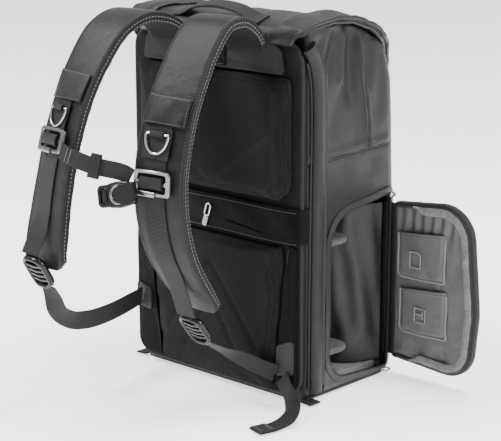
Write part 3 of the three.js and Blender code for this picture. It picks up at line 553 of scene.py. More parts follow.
NYLON = coated_nylon()
NYLON_SMOOTH = coated_nylon("strap_nylon", (0.006, 0.006, 0.0066), 0.38, 0.2)
NYLON_DARK = coated_nylon("panel_nylon", (0.0025, 0.0025, 0.0028), 0.55, 0.05)
LINING_DARK = satin("dark_lining", (0.012, 0.012, 0.013), 0.4)
LINING_GREY = satin("grey_lining", (0.085, 0.085, 0.09), 0.34)
MESH = air_mesh()
WEBBING = woven_webbing()
TAPE = edge_tape()
TEETH = zip_teeth()
FELT_LIGHT = brushed_felt("light_felt", (0.15, 0.15, 0.155), 0.4, 1.7)
FELT_GREY = brushed_felt("grey_felt", (0.06, 0.06, 0.063), 0.4, 1.7)
FELT_BASE = brushed_felt("heather_felt", (0.035, 0.035, 0.037), 0.2, 2.6, 1.6)
PLASTIC = moulded("black_acetal", (0.008, 0.008, 0.009), 0.24)
ALUMINIUM = metal("satin_aluminium", (0.25, 0.25, 0.26), 0.3)
CHROME = metal("bright_steel", (0.5, 0.5, 0.52), 0.16, 0.1)
GUNMETAL = metal("dark_steel", (0.2, 0.2, 0.21), 0.26)
THREAD_PALE = thread("pale_thread", (0.2, 0.2, 0.205))
THREAD_GREY = thread("grey_thread", (0.1, 0.1, 0.103))
THREAD_DARK = thread("dark_thread", (0.03, 0.03, 0.032))


# The bag's body
BODY_UP = np.array([0.0, 0.02, 0.1, 0.32, 0.5, 0.64, 0.73, 0.82, 0.87, 0.92, 1.02])
BODY_FRONT = np.array([0.93, 0.97, 1.0, 1.02, 1.02, 0.985, 0.965, 0.93, 0.85, 0.76, 0.5])
BODY_SIDE = np.array([0.95, 0.985, 1.0, 1.0, 1.0, 1.0, 1.0, 1.0, 1.0, 0.995, 0.985])
FLAP_Y = np.array([0, 2, 14, 35, 68, 93, 120, 143, 165, 183, 192, 195.5, 197]) + BACK - 2
FLAP_Z = np.array([-24, -11, -4, 0, 1, -3, -12, -25, -41, -63, -91, -114, -134]) + HEIGHT - 4
FLAP_WIDE = np.array([0.84, 0.96, 1, 1, 1, 1, 1, 0.975, 0.89, 0.79, 0.73, 0.71, 0.68])
SEAM_Z = 297.0  # cross seam of both sides
DOORWAY = [(-42, 20, 36), (76, 11, 6), (76, 237, 6), (-42, 222, 42)]


def along_height(z, table):
    """A column of the body's table at height z, softened over 9 mm."""
    up = np.arange(-30.0, 500.0)
    raw = np.interp(up / HEIGHT, BODY_UP, table)
    soft = np.convolve(np.pad(raw, 12, mode="edge"),
                       bell(np.arange(-12, 13.0), 6) / bell(np.arange(-12, 13.0), 6).sum(), "valid")
    return np.interp(z, up, soft)


def crease(y, z, start, end, width, depth):
    """A fold from start to end in the side's plane: depth * exp(-(distance / width)^2), fading at both
    ends."""
    start, end = np.asarray(start, float), np.asarray(end, float)
    line = end - start
    share = ((y - start[0]) * line[0] + (z - start[1]) * line[1]) / (line @ line)
    off = ((y - start[0]) * line[1] - (z - start[1]) * line[0]) / np.linalg.norm(line)
    return depth * bell(off, width) * ease((share + 0.06) / 0.2) * ease((1.06 - share) / 0.3)


# Folds of a side, seen square on: start (y, z), end, width, depth (+ is inwards)
SIDE_FOLDS = [
    ((-30, 446), (-52, 386), 9, 4.5), ((-14, 446), (-30, 372), 6, -3.2), ((0, 446), (-4, 352), 9, 4.2),
    ((11, 444), (24, 305), 4.5, -2.4), ((34, 440), (27, 372), 8, 3.2), ((-62, 440), (-60, 404), 8, 2.5),
    ((-22, 384), (-46, 318), 13, 1.6), ((50, 420), (46, 330), 12, 1.4), ((-4, 350), (8, 305), 8, 1.2),
    ((-20, 290), (-12, 255), 16, 0.9), ((40, 292), (36, 262), 14, 0.8),
]
FOLD_DEPTH = 1.6
SLIT = ((16, 397), (30, 299))


def seam_height(y):
    """The cross seam of a side rises a little towards the front."""
    return SEAM_Z + 0.045 * (y - 8)


def side_relief(y, z):
    """How far a side lies inside its plane: folds, the pocket's slit, the cross seam and soft puffs
    between seams."""
    rise = ease((z / HEIGHT - 0.645) / 0.285)
    inward = rise * (7 * bell(y + 14, 14) + 5 * bell(y - 22, 8)) * 0.75
    for start, end, width, depth in SIDE_FOLDS:
        inward = inward + FOLD_DEPTH * crease(y, z, start, end, width, depth)
    inward = inward + crease(y, z, *SLIT, 1.6, 3.4) - crease(y, z, (20, 397), (34, 299), 3.5, 2.0)
    inward = inward + 2.6 * bell(z - seam_height(y), 1.8) - 1.8 * bell(z - seam_height(y) - 6, 3.5)
    inward = inward - (1.2 * np.sin(np.clip((z - 303) / 120, 0, 1) * np.pi)
                       * np.cos(np.clip(y / 90, -1, 1) * np.pi / 2))
    waves = np.sin(y * 0.083 + z * 0.021) * np.sin(z * 0.047 - y * 0.031 + 1.3)
    return inward + 0.5 * waves * ease((z - 20) / 60)


def front_relief(x, z):
    """The front panel's own softness: a slow wave and a low belly."""
    return (0.7 * np.sin(x * 0.045 + 0.6) * np.sin(z * 0.028)
            - 1.2 * np.cos(np.clip(x / 120, -1, 1) * np.pi / 2))


def flap_under(y):
    return np.interp(y, FLAP_Y, FLAP_Z) - 3.8


def body_loop(z, inset=0.0):
    """The outline in plan at each height z: (heights, points, 2), from the right back corner round by
    the front."""
    side = HALF_WIDTH * along_height(z, BODY_SIDE)[:, None] - inset
    front = FRONT * along_height(z, BODY_FRONT)[:, None] - inset
    back = np.full_like(side, SHELL_BACK + inset)
    radius = 30.0 - inset
    s = np.linspace(0, 1, 66)[None]
    turn = np.linspace(0, np.pi / 2, 14)[None, 1:-1]
    straight = back + (front - radius - back) * s
    right = np.stack([np.broadcast_to(side, straight.shape), straight], -1)
    corner = np.stack([side - radius + radius * np.cos(turn), front - radius + radius * np.sin(turn)], -1)
    across = (side - radius) * (1 - 2 * np.linspace(0, 1, 92)[None])
    face = np.stack([across, np.broadcast_to(front, across.shape)], -1)
    left_corner = corner[:, ::-1] * [-1, 1]
    left = right[:, ::-1] * [-1, 1]
    behind = np.stack([-side * (1 - 2 * np.linspace(0, 1, 40)[None, 1:-1]),
                       np.broadcast_to(back, (len(z), 38))], -1)
    return np.concatenate([right, corner, face, left_corner, left, behind], 1)


def body_surface(rows, inset=0.0, low=0.0):
    """The body's skin: each column runs from the base up to just under the flap."""
    probe = np.linspace(low, 470, 471)
    plan = body_loop(probe, inset)
    inside = probe[:, None] < flap_under(plan[..., 1])
    top = probe[np.where(inside.all(0), 470, np.argmin(inside, 0) - 1)] - 0.4
    share = np.linspace(0, 1, rows)[:, None]
    z = low + share * (top[None] - low)
    x, y = (np.stack([np.interp(z[:, j], probe, plan[:, j, k]) for j in range(plan.shape[1])], 1)
            for k in (0, 1))
    sideways = np.clip((np.abs(x) - (HALF_WIDTH * along_height(z, BODY_SIDE) - inset) + 6) / 6, 0, 1)
    sideways = ease(sideways) * ease((FRONT * along_height(z, BODY_FRONT) - inset - 16 - y) / 16)
    x = x - np.sign(x) * side_relief(y, z) * sideways * (y > SHELL_BACK + inset + 0.5)
    facing = ease((y - FRONT * along_height(z, BODY_FRONT) + inset + 12) / 12)
    y = y - front_relief(x, z) * facing
    return np.stack([x, y, z], -1)


def nearest_on(points, outline):
    """The nearest point of a closed outline to each point, both in a plane."""
    a, b = outline, np.roll(outline, -1, 0)
    line = b - a
    share = np.clip(((points[:, None] - a) * line).sum(-1) / (line**2).sum(-1), 0, 1)
    foot = a + share[..., None] * line
    best = np.linalg.norm(foot - points[:, None], axis=-1).argmin(1)
    return foot[np.arange(len(points)), best]


def within(points, outline):
    """Even-odd test of points against a closed outline."""
    x, y = points[:, 0][:, None], points[:, 1][:, None]
    a, b = outline, np.roll(outline, -1, 0)
    over = (a[:, 1] > y) != (b[:, 1] > y)
    cross = (b[:, 0] - a[:, 0]) * (y - a[:, 1]) / (b[:, 1] - a[:, 1] + 1e-12) + a[:, 0]
    return ((over & (x < cross)).sum(1) % 2).astype(bool)


def grow(outline, margin):
    """The outline moved outwards by a margin along its own normals."""
    along = unit(np.roll(outline, -1, 0) - np.roll(outline, 1, 0))
    out = np.stack([along[:, 1], -along[:, 0]], 1)
    area = (outline[:, 0] * np.roll(outline[:, 1], -1) - np.roll(outline[:, 0], -1) * outline[:, 1]).sum()
    return outline + out * margin * np.sign(area)


def body_wall(name, finish, inset, rows, margin, low=0.0):
    """One skin of the body, with the doorway cut through its right side and its edge drawn onto the
    outline."""
    points = body_surface(rows, inset, low)
    outline = grow(rounded(DOORWAY, 3), margin)
    flat = points.reshape(-1, 3)
    right = flat[:, 0] > HALF_WIDTH - 16 - inset
    inner = right & within(flat[:, 1:], outline)
    cols = points.shape[1]
    inner = inner.reshape(points.shape[:2])
    faces, _, _ = grid(*points.shape[:2], wrap_cols=True)
    drop = inner.ravel()[faces].sum(1) >= 2
    used = np.zeros(len(flat), int)
    np.add.at(used, faces[~drop].ravel(), 1)
    dropped = np.zeros(len(flat), int)
    np.add.at(dropped, faces[drop].ravel(), 1)
    rim = np.flatnonzero((used > 0) & (dropped > 0))
    flat[rim, 1:] = nearest_on(flat[rim, 1:], outline)
    return surface(name, flat.reshape(-1, cols, 3), finish, wrap_cols=True, drop=drop, sharp=0)


wall(body_wall("body_cloth", NYLON, 0.0, 116, 1.0), 1.2)
wall(body_wall("body_lining", LINING_DARK, 4.6, 30, 1.0, low=5.0), 0.8, 1.0)
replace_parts(bpy.data.objects["body_cloth"], "main_shell")


def plan_cap(z, inset, name, finish, thick):
    """A flat floor that fills the body's outline at height z: rings shrinking towards the middle."""
    loop = body_loop(np.array([float(z)]), inset)[0]
    middle = np.array([0, (SHELL_BACK + FRONT) / 2])
    shares = np.linspace(1, 0.02, 12)[:, None, None]
    ring = middle + (loop[None] - middle) * shares
    points = np.concatenate([ring, np.full(ring.shape[:2] + (1,), float(z))], -1)
    return wall(surface(name, points, finish, wrap_cols=True, sharp=0), thick)


plan_cap(0.0, 0.2, "base_panel", NYLON, 1.5)
plan_cap(5.0, 5.2, "base_lining", LINING_DARK, 1.0)


# The arched top flap, with doubled end strips and rolled hems
FLAP_LINE = curve(np.stack([np.zeros(13), FLAP_Y, FLAP_Z], 1), 130)
FLAP_REACH = 148 * np.interp(FLAP_LINE[:, 1], FLAP_Y, FLAP_WIDE)
_, _, FLAP_IN = frames(FLAP_LINE, (1, 0, 0))


def flap_points(shares, lift):
    """Points over the flap's line: shares (rows, cols) of its half width sideways, lift outwards in mm."""
    shares = np.broadcast_to(shares, (len(FLAP_LINE), np.shape(shares)[-1]))
    x = shares * FLAP_REACH[:, None]
    base = FLAP_LINE[:, None] - lift[..., None] * FLAP_IN[:, None]
    base[..., 0] = x
    return base


def flap_soft(shares):
    """Slow waves over the flap and a dip where it leaves the frame at each side."""
    run = np.linspace(0, 1, len(FLAP_LINE))[:, None]
    x = shares * 148
    dip = -1.8 * bell(np.abs(shares) - 0.62, 0.12) * ease((run - 0.1) / 0.2)
    return dip + 0.8 * np.sin(x * 0.06 + run * 9) * np.sin(run * 17 + 0.5) + 0.5 * np.sin(x * 0.11 + 1.7)


def top_flap():
    shares = np.linspace(-1, 1, 104)[None]
    lift = 1.4 * (1 - shares**2) + flap_soft(shares)
    front = ease((np.linspace(0, 1, len(FLAP_LINE))[:, None] - 0.93) / 0.04)
    main = wall(surface("flap_cloth", flap_points(shares, lift + front), NYLON, flip=True, sharp=0), 2.2)
    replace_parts(main, "top_flap")
    run = np.linspace(0, 1, len(FLAP_LINE))[:, None]
    edge = 0.735 - 0.075 * np.sin(np.clip(run / 0.62, 0, 1) * np.pi) + 0.02 * np.sin(run * 12)
    for side, name in ((1, "right"), (-1, "left")):
        t = np.linspace(0, 1, 36)[None]
        shares = edge + (1.0 - edge) * t
        stand = 5.4 * (1 - (1 - np.clip(t / 0.22, 0, 1)) ** 2 * 0.5) * (1 - 0.45 * ease((t - 0.55) / 0.45))
        stand = stand + 0.7 * np.sin(run * 21 + t * 3) * bell(t - 0.4, 0.4) + 0.4 * np.sin(run * 47 + t * 2)
        low = 1.4 * (1 - shares**2) + flap_soft(shares)
        strip = flap_points(side * shares, low + stand * ease((run + 0.02) / 0.05))
        wall(surface("flap_end_strip_" + name, strip, NYLON, flip=side > 0, sharp=0), 2.4)
        for k, (share, drop, radius) in enumerate(((1.004, 0.4, 2.9), (0.985, 5.6, 2.5))):
            inset = 2 * k
            shares = np.full((1, 1), side * share)
            line = flap_points(shares, np.full((len(FLAP_LINE), 1), 3.2 - drop))[:, 0]
            wobble = 0.5 * np.sin(np.arange(len(line)) * 0.37 + k) + 0.3 * np.sin(np.arange(len(line)) * 0.83)
            line = line + wobble[:, None] * FLAP_IN
            line = line[inset:len(line) - 1 - inset]
            tube(f"flap_hem_{name}_{k + 1}", line, radius, NYLON, 12)
            inwards = FLAP_IN[inset:len(FLAP_LINE) - 1 - inset]
            outer = line + np.array([side * radius * 0.75, 0, 0]) - inwards * radius * 0.62
            stitches(f"flap_stitch_{name}_{k + 1}", outer, -inwards, THREAD_DARK, 4.2)
        row = strip[:, 3] - 0.2 * FLAP_IN
        stitches("flap_strip_stitch_" + name, row, -FLAP_IN, THREAD_DARK, 4.0)
    for name, row in (("back", 0), ("front", -1)):
        shares = np.linspace(-0.99, 0.99, 90)
        line = FLAP_LINE[row] + np.stack([shares * FLAP_REACH[row], 0 * shares, 0 * shares], 1)
        tube("flap_piping_" + name, line, 2.2, TAPE, 10)


top_flap()

# Padding: shapes that are swollen by a cloth simulation
def settle(piece):
    """Swaps the piece's mesh for what its modifiers make of it, and removes them."""
    bpy.context.view_layer.update()
    graph = bpy.context.evaluated_depsgraph_get()
    made = bpy.data.meshes.new_from_object(piece.evaluated_get(graph))
    piece.modifiers.clear()
    piece.data = made
    return piece


def get_points(piece):
    flat = np.empty(len(piece.data.vertices) * 3, np.float32)
    piece.data.vertices.foreach_get("co", flat)
    return flat.reshape(-1, 3).astype(float) * 1000


def set_points(piece, points):
    piece.data.vertices.foreach_set("co", (points / 1000).astype(np.float32).ravel())
    piece.data.update()


def puff(piece, held, cap, voxel=5.0, pressure=4.0):
    """Remesh at voxel mm, 20 frames of inner pressure with the held points still, each point's way
    capped in mm."""
    remesh = piece.modifiers.new("remesh", "REMESH")
    remesh.mode, remesh.voxel_size = "VOXEL", voxel / 1000
    settle(piece)
    start = get_points(piece)
    group = piece.vertex_groups.new(name="held")
    group.add([int(i) for i in np.flatnonzero(held(start))], 1.0, "REPLACE")
    cloth = piece.modifiers.new("cloth", "CLOTH")
    cloth.settings.quality = 5
    cloth.settings.use_pressure, cloth.settings.uniform_pressure_force = True, pressure
    cloth.settings.effector_weights.gravity = 0
    cloth.settings.tension_stiffness = cloth.settings.compression_stiffness = 18
    cloth.settings.bending_stiffness = 0.6
    cloth.settings.vertex_group_mass = "held"
    cloth.point_cache.frame_start, cloth.point_cache.frame_end = 1, 20
    for step in range(1, 21):
        bpy.context.scene.frame_set(step)
    settle(piece)
    bpy.context.scene.frame_set(1)
    moved = get_points(piece) - start
    way = np.linalg.norm(moved, axis=1, keepdims=True)
    set_points(piece, start + moved * np.minimum(1, cap / np.maximum(way, 1e-6)))
    piece.vertex_groups.clear()
    piece.data.polygons.foreach_set("use_smooth", np.ones(len(piece.data.polygons), bool))
    return piece


def slab_on_back(name, outline, thick, finish, edge=4.0, near=BACK - GAP, rings=9):
    """A pad on the bag's back: the outline (x, z) shrinks as it comes out, round at the edge, closed
    front and back.

    Ring k of the rounding is set in by edge * (1 - cos a) and lies at edge * sin a, with a from 0 to a
    right angle.
    """
    angle = np.linspace(0, np.pi / 2, 7)
    insets = np.concatenate([[edge * 0.6], edge * (1 - np.cos(angle)) * 0.9])
    straight = np.maximum(thick - edge, 0.4)
    outs = np.concatenate([[0.0], straight + (thick - straight) * np.sin(angle)])
    line = outline
    middle = line.mean(0)
    shells = [np.concatenate([grow(line, -i), np.full((len(line), 1), o)], 1) for i, o in zip(insets, outs)]
    top = shells[-1]
    for s in np.linspace(1, 0, rings)[1:-1]:
        shells.append(np.concatenate([middle + (top[:, :2] - middle) * s, top[:, 2:]], 1))
    stack = np.array(shells)
    points = np.stack([stack[..., 0], near - stack[..., 2], stack[..., 1]], -1)
    return surface(name, points, finish, wrap_cols=True, caps=True, sharp=0)


def groove(piece, lines, width, depth):
    """Presses sewn channels into a pad on the back: y + depth * exp(-(distance / width)^2) from each
    (x, z) line."""
    points = get_points(piece)
    face = ease((BACK - 3 - points[:, 1]) / 3)
    push = np.zeros(len(points))
    for a, b in lines:
        a, b = np.asarray(a, float), np.asarray(b, float)
        line = b - a
        share = np.clip(((points[:, [0, 2]] - a) @ line) / (line @ line), 0, 1)
        off = np.linalg.norm(points[:, [0, 2]] - a - share[:, None] * line, axis=1)
        push = np.maximum(push, bell(off, width))
    points[:, 1] += depth * push * face
    set_points(piece, points)
    return piece


def back_pad(name, node, corners, thick, cap, lines, finish=MESH, voxel=5.0, edge=4.5):
    """A foam pad: the slab, swollen where it is free, its channels pressed in, then smoothed once."""
    piece = slab_on_back(name, rounded(corners, 4), thick, finish, edge)
    puff(piece, lambda p: p[:, 1] > BACK - GAP - 1.5, cap, voxel)
    groove(piece, lines, 3.0, 2.4)
    refine(piece)
    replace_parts(piece, node)
    return piece


back_pad("upper_pad", "upper_back_pad",
         [(-129, 247, 20), (108, 247, 6), (129, 262, 14), (129, 397, 8), (-129, 397, 8)], 8.5, 4.0,
         [((8, 262), (96, 322)), ((-96, 322), (-8, 262)), ((104, 256), (104, 394)),
                 ((-104, 256), (-104, 394))])
back_pad("lower_pad", "lower_back_pad", [(-91, 13, 8), (102, 13, 8), (120, 196, 6), (-112, 196, 6)],
         7.5, 4.0, [((0, 160), (78, 62)), ((0, 160), (-74, 62)), ((0, 118), (50, 40)), ((0, 118), (-46, 40))])

# Back frame, yoke, wings and luggage band
BOARD = [(-139, 10, 26), (139, 10, 26), (139, 436, 26), (-139, 436, 26)]
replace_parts(slab_on_back("back_frame", rounded(BOARD, 4), 12.0, MESH, 3.5, BACK + 12), "back_board")
board_edge = rounded([(-138.4, 10.6, 25), (138.4, 10.6, 25), (138.4, 435.4, 25), (-138.4, 435.4, 25)], 3)
board_line = np.stack([board_edge[:, 0], np.full(len(board_edge), BACK + 2.4), board_edge[:, 1]], 1)
tube("back_edge_binding", board_line, 2.3, TAPE, 10, closed=True, across=(0, 1, 0))
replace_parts(slab_on_back("yoke_panel",
                         rounded([(-117, 398.5, 4), (117, 398.5, 4), (111, 433.5, 14), (-111, 433.5, 14)], 4),
                         7.0, WEBBING, 2.5), "yoke")


def flat_line(points, y, count):
    """A line on the back through (x, z) points at depth y."""
    return curve([(x, y, z) for x, z in points], count)


def yoke_patch():
    """The crumpled webbing patch between the straps: a sheet on the yoke with short creases."""
    u, v = np.meshgrid(np.linspace(-26, 26, 50), np.linspace(402, 427, 30))
    crumple = 0.9 * np.sin(u * 0.42 + v * 0.2) * np.sin(v * 0.33 + 1) + 0.5 * np.sin(u * 0.9 - v * 0.5)
    y = BACK - GAP - 7.6 - crumple * 0.7 - 0.8
    wall(surface("yoke_patch", np.stack([u, y, v], -1), NYLON_DARK, sharp=0), 1.2)
    for z in (403.5, 425.5):
        line = flat_line([(-25, z), (25, z)], BACK - GAP - 9.2, 30)
        stitches(f"yoke_patch_stitch_{int(z)}", line, (0, -1, 0), THREAD_DARK, 3.6)


yoke_patch()
for name, side in (("right", 1), ("left", -1)):
    top, low = (121, 101) if side > 0 else (113, 90)
    corners = [(low + 1.5, 14, 2), (135.5, 14, 20), (135.5, 196.5, 3), (top + 1.5, 196.5, 2)]
    wing = slab_on_back("wing_" + name, rounded([(side * x, z, r) for x, z, r in corners], 4), 4.2,
                        NYLON_DARK, 1.6)
    points = get_points(wing)
    swell = 1.1 * np.sin(np.clip((points[:, 2] - 14) / 182, 0, 1) * np.pi) + 0.5 * np.sin(points[:, 2] * 0.09)
    points[:, 1] -= swell * ease((BACK - 3 - points[:, 1]) / 2)
    set_points(wing, points)
    refine(wing)
    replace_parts(wing, "back_wing_" + name)
    seam = flat_line([(side * (low + 3.4), 18), (side * (top + 3.6), 193)], BACK - GAP - 4.3, 60)
    stitches("wing_stitch_" + name, seam, (0, -1, 0), THREAD_DARK, 3.6)


def luggage_band():
    """A soft band of nylon round both back corners: a sheet whose middle bows out and whose edges roll in."""
    rows = [(1, 0, 14.5), (1, 0.4, 3), (0.992, 0, -3.6), (0.93, 0, -6.6), (0.6, 0, -7.2), (0, 0, -7.5)]
    rows = rows + [(-s, -d, y) for s, d, y in rows[-2::-1]]
    line = curve(np.array([(s * 141.35 + d, BACK + y, 0.0) for s, d, y in rows]), 170)
    t = np.linspace(0, 1, 26)[None]
    x = line[:, :1]
    top = 241.5 + 0.5 * np.sin(x * 0.05)
    low = 199 + 3.0 * np.clip(-x / 139, 0, 1) + 0.6 * np.sin(x * 0.04 + 1)
    z = low + (top - low) * t
    bow = (0.9 * np.sin(t * np.pi) + 0.5 * np.sin(x * 0.09 + t * 5) * np.sin(t * np.pi)
           + 0.35 * np.sin(x * 0.031 + t * 2))
    out = frames(line, (0, 0, -1))[2]
    points = line[:, None] + out[:, None] * (bow - 0.6)[..., None]
    points[..., 2] = z
    band = wall(surface("luggage_band_cloth", points, NYLON_DARK, sharp=0), 1.8)
    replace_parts(band, "luggage_band")
    for k, share in enumerate((0.05, 0.95)):
        row = points[:, int(share * 25)] + out * 0.35
        stitches(f"luggage_band_stitch_{k + 1}", row[12:-12], out[12:-12], THREAD_DARK, 3.8)
    slant = flat_line([(24, 213), (84, 206.5)], BACK - 8.5, 40)
    tube("luggage_band_welt", slant, 0.8, NYLON_DARK, 8)


luggage_band()


def edge_piping(name, side):
    """The thick piping up each back corner: half an oval 20 wide and 8 proud, with a seam and a zip
    beside it."""
    rows = [(-68, 12), (-68, 120), (-67, 250), (-67, 370), (-70, 400), (-77, 420), (-85, 432)]
    line = curve(np.array([(side * (HALF_WIDTH + GAP), y, z) for y, z in rows], float), 150)
    t = np.linspace(0, np.pi, 26)
    arch = np.stack([10.0 * np.cos(t), 7.9 * np.sin(t) ** 0.8], 1)
    back = np.stack([np.linspace(-9.4, 9.4, 8), np.full(8, 0.0)], 1)
    fat = 1 + 0.018 * np.sin(np.arange(150) * 0.61) + 0.012 * np.sin(np.arange(150) * 1.9)
    profile = np.concatenate([arch, back])[None] * np.stack([np.ones(150), fat], 1)[:, None]
    across = (0, -side, 0)
    roll = surface("piping_" + name, sweep(line, across, profile), NYLON, wrap_cols=True, caps=True, sharp=50)
    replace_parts(roll, "edge_piping_" + name)
    _, acr, out = frames(line, across)
    for k, (a, o, r) in enumerate(((-12.4, 0.9, 1.7), (12.2, 0.9, 1.5))):
        tube(f"piping_seam_{name}_{k + 1}", (line + acr * a + out * o)[2:-6], r, NYLON, 8, across=(0, 1, 0))
    coil = line - acr * 15.6 + out * 0.55
    tape = np.array([(-2.6, 0.0), (2.6, 0.0), (2.4, 0.7), (1.3, 0.8),
                     (0.6, 1.5), (-0.6, 1.5), (-1.3, 0.8), (-2.4, 0.7)])
    surface("piping_zip_" + name, sweep(coil[2:-14], across, tape), TEETH, wrap_cols=True, caps=True,
            sharp=50)
    seam = line - acr * 9.3 + out * 2.6
    stitches("piping_stitch_" + name, seam[2:-4], out[2:-4], THREAD_DARK, 3.4)


edge_piping("right", 1)
edge_piping("left", -1)


def grab_handle():
    """An arch of doubled webbing over the flap's back edge, padded in the middle."""
    rows = [(-1, 3, 0), (-0.83, 2.5, 1.2), (-0.5, 0, 10.1), (0, -1, 14),
            (0.5, 0, 10.1), (0.83, 2.5, 1.2), (1, 3, 0)]
    line = curve(np.array([(s * 70, BACK + 8 + y, HEIGHT - 3 + z) for s, y, z in rows]), 90)
    wide = 24 - 3 * np.sin(np.linspace(0, np.pi, 90))
    thick = 2.6 + 2.0 * np.sin(np.linspace(0, np.pi, 90)) ** 2
    base = oval(1, 1, 28, power=3.0)
    profile = base[None] * np.stack([wide, thick], 1)[:, None] - np.array([0, 1.4])
    handle = surface("grab_handle_webbing", sweep(line, (0, 1, 0.3), profile), WEBBING, wrap_cols=True,
                     caps=True, sharp=50)
    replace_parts(handle, "grab_handle")
    _, across, out = frames(line, (0, 1, 0.3))
    for k, a in enumerate((-0.42, 0.42)):
        row = line + across * (a * wide)[:, None] + out * (thick / 2 - 1.25)[:, None]
        stitches(f"grab_handle_stitch_{k + 1}", row[6:-6], out[6:-6], THREAD_DARK, 3.6)


grab_handle()


# Inside: felt floor, two padded shelves and the loose front lining
def plate(name, outline, low, thick, finish, edge=2.0):
    """A level pad: the outline (x, y) with rounded top and bottom edges, its top and bottom faces flat."""
    angle = np.linspace(-np.pi / 2, np.pi / 2, 9)
    shells = []
    for a in angle:
        ring = grow(outline, -edge * (1 - np.cos(a)))
        z = low + thick / 2 + np.sin(a) * min(edge, thick / 2) + np.sign(a) * max(thick / 2 - edge, 0)
        shells.append(np.concatenate([ring, np.full((len(ring), 1), z)], 1))
    middle = outline.mean(0)
    shares = np.linspace(1, 0.03, 12)[1:]
    below, above = ([np.concatenate([middle + (shell[:, :2] - middle) * s, shell[:, 2:]], 1) for s in shares]
                    for shell in (shells[0], shells[-1]))
    stack = below[::-1] + shells + above
    points = np.array(stack)
    piece = surface(name, points, finish, wrap_cols=True, caps=True, sharp=0)
    return piece


floor = plate("floor_felt",
              rounded([(-125.6, -76.6, 6), (125.6, -76.6, 6), (125.6, 82.1, 24), (-125.6, 82.1, 24)], 5),
              5.4, 11.0, FELT_LIGHT, 4.0)
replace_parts(floor, "floor_pad")
for name, low in (("lower", 45.0), ("upper", 183.0)):
    shelf = plate("shelf_felt_" + name,
                  rounded([(-131, -77, 3), (131, -77, 3), (131, 12, 18), (-131, 12, 3)], 5),
                  low, 9.0, FELT_GREY, 4.2)
    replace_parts(shelf, "shelf_" + name)


def front_lining():
    """A curtain of satin along its path in plan: x, y plus folds that fade out towards the top and the foot.
    """
    path = [(126.5, 75), (120.9, 58), (112, 38), (96, 24), (72, 18), (20, 16.5), (-131, 16)]
    line = curve(np.array([(x, y, 0.0) for x, y in path]), 150)
    _, _, out = frames(line, (0, 0, 1))
    z = np.linspace(16.8, 221.8, 90)[:, None]
    s = np.linspace(0, 1, 150)[None]
    folds = 2.3 * np.sin(s * 34 + z * 0.016) * np.sin(z * 0.013 + 0.6) + 1.5 * np.sin(s * 61 - z * 0.04 + 2)
    folds = (folds * ease((z - 16.8) / 60) * ease((221.8 - z) / 20)
             + 1.3 * np.sin(z * 0.075 + s * 14) * bell(s - 0.2, 0.13))
    points = line[None] + out[None] * folds[..., None] * np.clip((1 - s) * 3, 0, 1)[..., None]
    points[..., 2] = z
    piece = wall(surface("front_lining_satin", points, LINING_DARK, sharp=0), 0.8, 0.0)
    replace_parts(piece, "front_lining")


front_lining()


# The open side door
DOOR_NEAR, HINGE_X, DOOR_WIDE, DOOR_LOW, DOOR_HIGH = 80.0, HALF_WIDTH + 3, 128.0, 19.0, 212.0


def door_outline(inset, step=3.0):
    return rounded([
        (HINGE_X + inset, DOOR_LOW + 4 + inset, 3),
        (HINGE_X + DOOR_WIDE - 8 - inset, DOOR_LOW - 4 + inset, 36 - inset),
        (HINGE_X + DOOR_WIDE - inset, DOOR_LOW + 82, 110),
        (HINGE_X + DOOR_WIDE - 13 - inset, DOOR_LOW + DOOR_HIGH + 4 - inset, 44 - inset),
        (HINGE_X + inset, DOOR_LOW + DOOR_HIGH - 7 - inset, 3)], step)


def filled(outline, rings=26):
    """Rings of the outline shrinking to its middle: (rings, points, 2), outermost first."""
    middle = np.array([(outline[:, k].min() + outline[:, k].max()) / 2 for k in (0, 1)])
    share = np.linspace(1, 0.01, rings)[:, None, None]
    return middle + (outline[None] - middle) * share


def door_cloth(x, z):
    """How far the lining stands off the panel, towards the viewer: gathers below the top edge, puffs
    and seams."""
    top = DOOR_LOW + DOOR_HIGH
    gathers = 2.2 * np.sin((x - HINGE_X) * 0.42 + 0.8 * np.sin(z * 0.05)) * bell(z - (top - 24), 22)
    side = 1.2 * np.sin(z * 0.11 + 0.5 * np.sin(x * 0.2)) * bell(x - (HINGE_X + 104), 9)
    seam = (-1.3 * bell(x - (211 + (190 - z) * 0.086), 1.6) * (z < 188)
            - 1.1 * bell(z - 58 + (x - 211) * 0.05, 1.6) * (x > 160))
    foot = 1.8 * np.sin(x * 0.16 + 1.0) * bell(z - 38, 14) + 1.0 * np.sin(x * 0.07 + z * 0.09)
    return gathers + side + seam + foot


